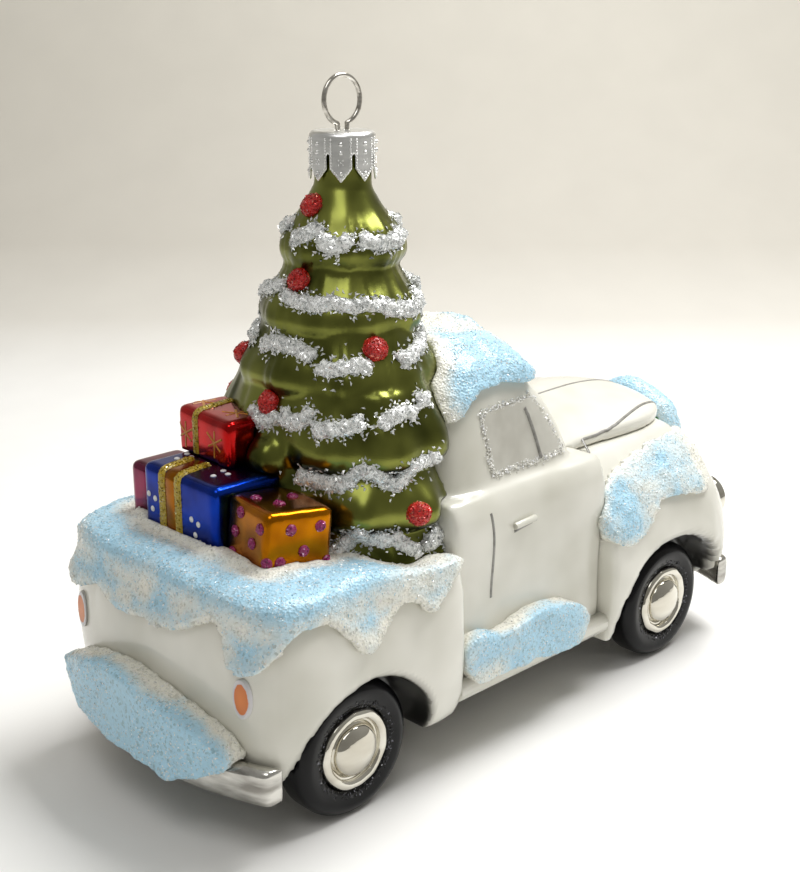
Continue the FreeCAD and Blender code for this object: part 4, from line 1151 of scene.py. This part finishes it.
places[:, :2] -= aside * (past * (1.0 - pull) / np.maximum(reach, 0.001))[:, None]
move(crown, places * MM)
put("crown_cap", crown, cap_metal, ["cap"], "cap_and_hanger")
dressed("hanger_wire", "hanger", wire_metal, body="cap_and_hanger")

border = [(TAB_HALF, z) for z in np.arange(TAB_TURN_Z, TAB_TOP_Z, BEAD_PITCH)]
slant = math.hypot(TAB_HALF, TAB_TURN_Z - TAB_POINT_Z)
for i in range(1, int(slant / BEAD_PITCH) + 1):
    t = i * BEAD_PITCH / slant
    border.append((TAB_HALF * (1 - t), TAB_TURN_Z + (TAB_POINT_Z - TAB_TURN_Z) * t))
marks = [(a, z, BEAD_RADIUS) for a, z in border] + [(-a, z, BEAD_RADIUS) for a, z in border if a > 0.05]
marks += [(0.0, TAB_FOOT_Z + rise, DOME_RADIUS) for rise in DOME_RISES]
marks += [(a, TAB_FOOT_Z + rise, CROSS_RADIUS) for a, rise in CROSS]
cap_tree = tree_of([NODES["cap"].data])
bm = bmesh.new()
for tab in range(CAP_TABS):
    for aside, z, radius in marks:
        turn = math.radians(360.0 * tab / CAP_TABS) + aside / CAP_RADIUS
        out = Vector((math.cos(turn), math.sin(turn), 0.0))
        place, _, _, _ = cap_tree.ray_cast(Vector((TRUNK_X, 0.0, z)) * MM + out * 12.0 * MM, -out)
        if place is not None:
            bmesh.ops.create_uvsphere(bm, u_segments=6, v_segments=4, radius=radius * MM,
                                      matrix=Matrix.Translation(place))
put("cap_beads", finished(bm, "cap_beads", 60), cap_metal, (), "cap_and_hanger")
print("cap marks", len(marks) * CAP_TABS)

# %% [markdown]
# The light is plain and soft. One large lamp hangs above the truck's nose and a weaker one high over its
# right rear, and the floor throws their light back up onto the sides. The world outside is dimmer
# towards the camera's end of the room, which gives the silvered and lacquered glass something to
# mirror. The camera itself sees a pale wall.

# %% Light
world = bpy.data.worlds.new("pale_room")
bpy.context.scene.world = world
world.use_nodes = True
room = world.node_tree
room.nodes.clear()
seen = add(room, "Background", values={0: colour("#D8D4CB"), 1: 1.0})
toward = add(room, "TexCoord")
split = add(room, "SeparateXYZ", links={0: toward.outputs["Generated"]})
depth = add(room, "Math", {"operation": "MULTIPLY_ADD"}, {1: 1.4}, {0: split.outputs[0], 2: split.outputs[1]})
level = add(room, "MapRange", values={1: -1.4, 2: 1.6, 3: 0.3, 4: 0.5}, links={0: depth.outputs[0]})
lit = add(room, "Background", values={0: colour("#F4F2EC")}, links={1: level.outputs[0]})
path = add(room, "LightPath")
pick = add(room, "MixShader", links={0: path.outputs["Is Camera Ray"], 1: lit.outputs[0], 2: seen.outputs[0]})
add(room, "OutputWorld", links={0: pick.outputs[0]})


def softbox(name, place_mm, aim_mm, size_mm, watts):
    """A rectangular lamp that looks at a point."""
    lamp_data = bpy.data.lights.new(name, "AREA")
    lamp_data.shape = "RECTANGLE"
    lamp_data.size, lamp_data.size_y = size_mm[0] * MM, size_mm[1] * MM
    lamp_data.energy = watts
    place = Vector(place_mm) * MM
    turn = (Vector(aim_mm) * MM - place).to_track_quat("-Z", "Y").to_matrix().to_4x4()
    linked(name, lamp_data).matrix_world = Matrix.Translation(place) @ turn


softbox("key", (190, -30, 420), (0, 0, 40), (260, 200), 2.35)
softbox("fill", (-240, -160, 520), (0, 0, 20), (260, 260), 0.6)
print("lamps", [lamp.name for lamp in bpy.data.lights])

# %% [markdown]
# The stage is a sheet of white paper that runs flat under the truck and bends up into a wall behind it.
# Its profile is a straight line, a quarter circle and a straight line, drawn out sideways. Up the wall
# the white is painted a warmer grey, darkest a little above the bend: painted shade.

# %% Paper cove
COVE_AWAY_MM = 170.0
COVE_RADIUS_MM = 260.0
COVE_HALF_MM = 480.0
COVE_NEAR_MM = -260.0
COVE_HIGH_MM = 900.0
COVE_STEPS = 24
profile = [(COVE_NEAR_MM, 0.0)]
for bend in np.linspace(0.0, math.pi / 2, COVE_STEPS + 1):
    profile.append((COVE_AWAY_MM + COVE_RADIUS_MM * math.sin(bend), COVE_RADIUS_MM * (1 - math.cos(bend))))
profile.append((COVE_AWAY_MM + COVE_RADIUS_MM, COVE_HIGH_MM))
bm = bmesh.new()
verts = [bm.verts.new(Vector((away, -COVE_HALF_MM, high)) * MM) for away, high in profile]
edges = [bm.edges.new(pair) for pair in zip(verts, verts[1:])]
swept = bmesh.ops.extrude_edge_only(bm, edges=edges)["geom"]
bmesh.ops.translate(bm, verts=[g for g in swept if isinstance(g, bmesh.types.BMVert)],
                    vec=Vector((0.0, 2 * COVE_HALF_MM * MM, 0.0)))
bmesh.ops.rotate(bm, verts=bm.verts, matrix=Matrix.Rotation(HEADING, 3, "Z"))
bmesh.ops.recalc_face_normals(bm, faces=bm.faces)
paper, shader, place = blank("white_paper_cove", {"Roughness": 0.7})
height = add(shader, "SeparateXYZ", links={0: place})
climb = add(shader, "MapRange", values={1: 0.0, 2: 0.16, 3: 0.0, 4: 1.0}, links={0: height.outputs[2]})
fibre = add(shader, "TexNoise", values={"Scale": per_metre(20)}, links={"Vector": place})
grain = add(shader, "ValToRGB", links={"Fac": fibre.outputs["Fac"]}, stops=((0.3, "#F2F1EE"), (0.7, "#F5F4F1")))
# Painted shade: the paper turns grey up the wall, darkest a little above the bend.
wall = add(shader, "ValToRGB", links={"Fac": climb.outputs[0]}, stops=(
    (0.0, "#FFFFFF"), (0.08, "#E2DFD9"), (0.2, "#D4D0C8"), (0.6, "#DAD6CD"), (1.0, "#E4E0D7"),
))
paint(shader, grain.outputs[0], wall.outputs[0])
cove = linked("paper_cove", finished(bm, "paper_cove", 60))
cove.data.materials.append(paper)
print("stage ready")
